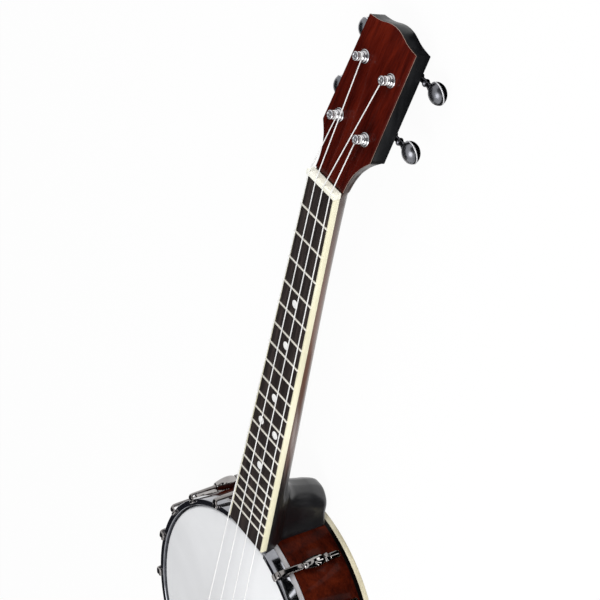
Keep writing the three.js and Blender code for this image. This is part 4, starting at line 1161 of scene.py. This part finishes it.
def makeCard(name, colour, corners, glow=0):  # a card that only mirrors see
    selectNone()
    bpy.ops.mesh.primitive_plane_add(size=1)
    card = newPiece(name, corners)
    material = newFinish(name, Base_Color=tint(colour), Roughness=0.9, Specular_IOR_Level=0.0,
                         Emission_Color=tint(colour), Emission_Strength=glow)[0]
    card.data.materials.append(material)
    card.visible_camera = False
    card.visible_diffuse = False
    card.visible_shadow = False
    card.visible_transmission = False


def onFloor(x, y, farX, farY, level):
    return [(x, y, level), (farX, y, level), (x, farY, level), (farX, farY, level)]


def makeLamp(name, place, aim, size, power, mirrored=False):
    data = bpy.data.lights.new(name, "AREA")
    data.shape = "SQUARE"
    data.size = size
    data.energy = power
    lamp = bpy.data.objects.new(name, data)
    bpy.context.scene.collection.objects.link(lamp)
    lamp.location = place
    lamp.visible_glossy = mirrored
    lamp.rotation_euler = (Vector(aim) - Vector(place)).to_track_quat("-Z", "Y").to_euler()


makeWorld()
makeFloor()
low = studio["cardLevel"]
makeCard("pot_card", studio["darkCard"], onFloor(0.02, -0.9, 1.2, 0.03, low))
makeCard("head_card", studio["darkCard"], onFloor(0, 0.16, 1.2, 1.2, low))
makeCard("glow_card", studio["whiteCard"], onFloor(0.03, -0.07, 0.07, -0.035, 2 * low), studio["cardGlow"])
strip = dict(start=0.02, end=0.13, half=0.004, level=3 * low)
for number, angle in enumerate(hookAngles()[:3], 1):  # a bright strip before each near hook
    foot = aboutPot(angle) @ Vector((0, hookCircle, strip["level"]))
    towards = (Vector(cameraSet["place"]) - foot) * Vector((1, 1, 0))
    towards.normalize()
    side = Vector((-towards.y, towards.x, 0)) * strip["half"]
    near, far = foot + towards * strip["start"], foot + towards * strip["end"]
    corners = [near - side, near + side, far - side, far + side]
    makeCard(f"streak_card_{number}", studio["whiteCard"], corners, studio["cardGlow"])
makeCard("sky_card", studio["skyCard"],
         [(-1.99, 0.12, 0.29), (-0.67, -1.88, 0.29), (-1.08, 0.72, 1.59), (0.24, -1.29, 1.59)])
makeCard("camera_card", studio["greyCard"],
         [(0.5, 1.9, 0.2), (1.9, 0.5, 0.2), (0.4, 1.5, 1.5), (1.5, 0.4, 1.5)])
makeLamp("key_lamp", (0.8, 0.0, 1.0), (0, -0.05, 0), 0.8, 7.8, mirrored=True)
makeLamp("front_lamp", (0.2, 1.8, 0.7), (0, 0, 0.03), 1.0, 21)
makeLamp("fill_lamp", (-1.1, -0.9, 1.3), (0, -0.1, 0), 1.2, 2.5)
makeLamp("rim_lamp", (1.5, -0.5, 0.5), (0, -0.15, 0.03), 0.7, 2.5)
makeLamp("side_lamp", (0.45, -0.25, 0.35), (0, -0.21, 0.06), 0.25, 0.8)
bpy.context.scene.view_settings.view_transform = "Standard"
print("stage: studio made")
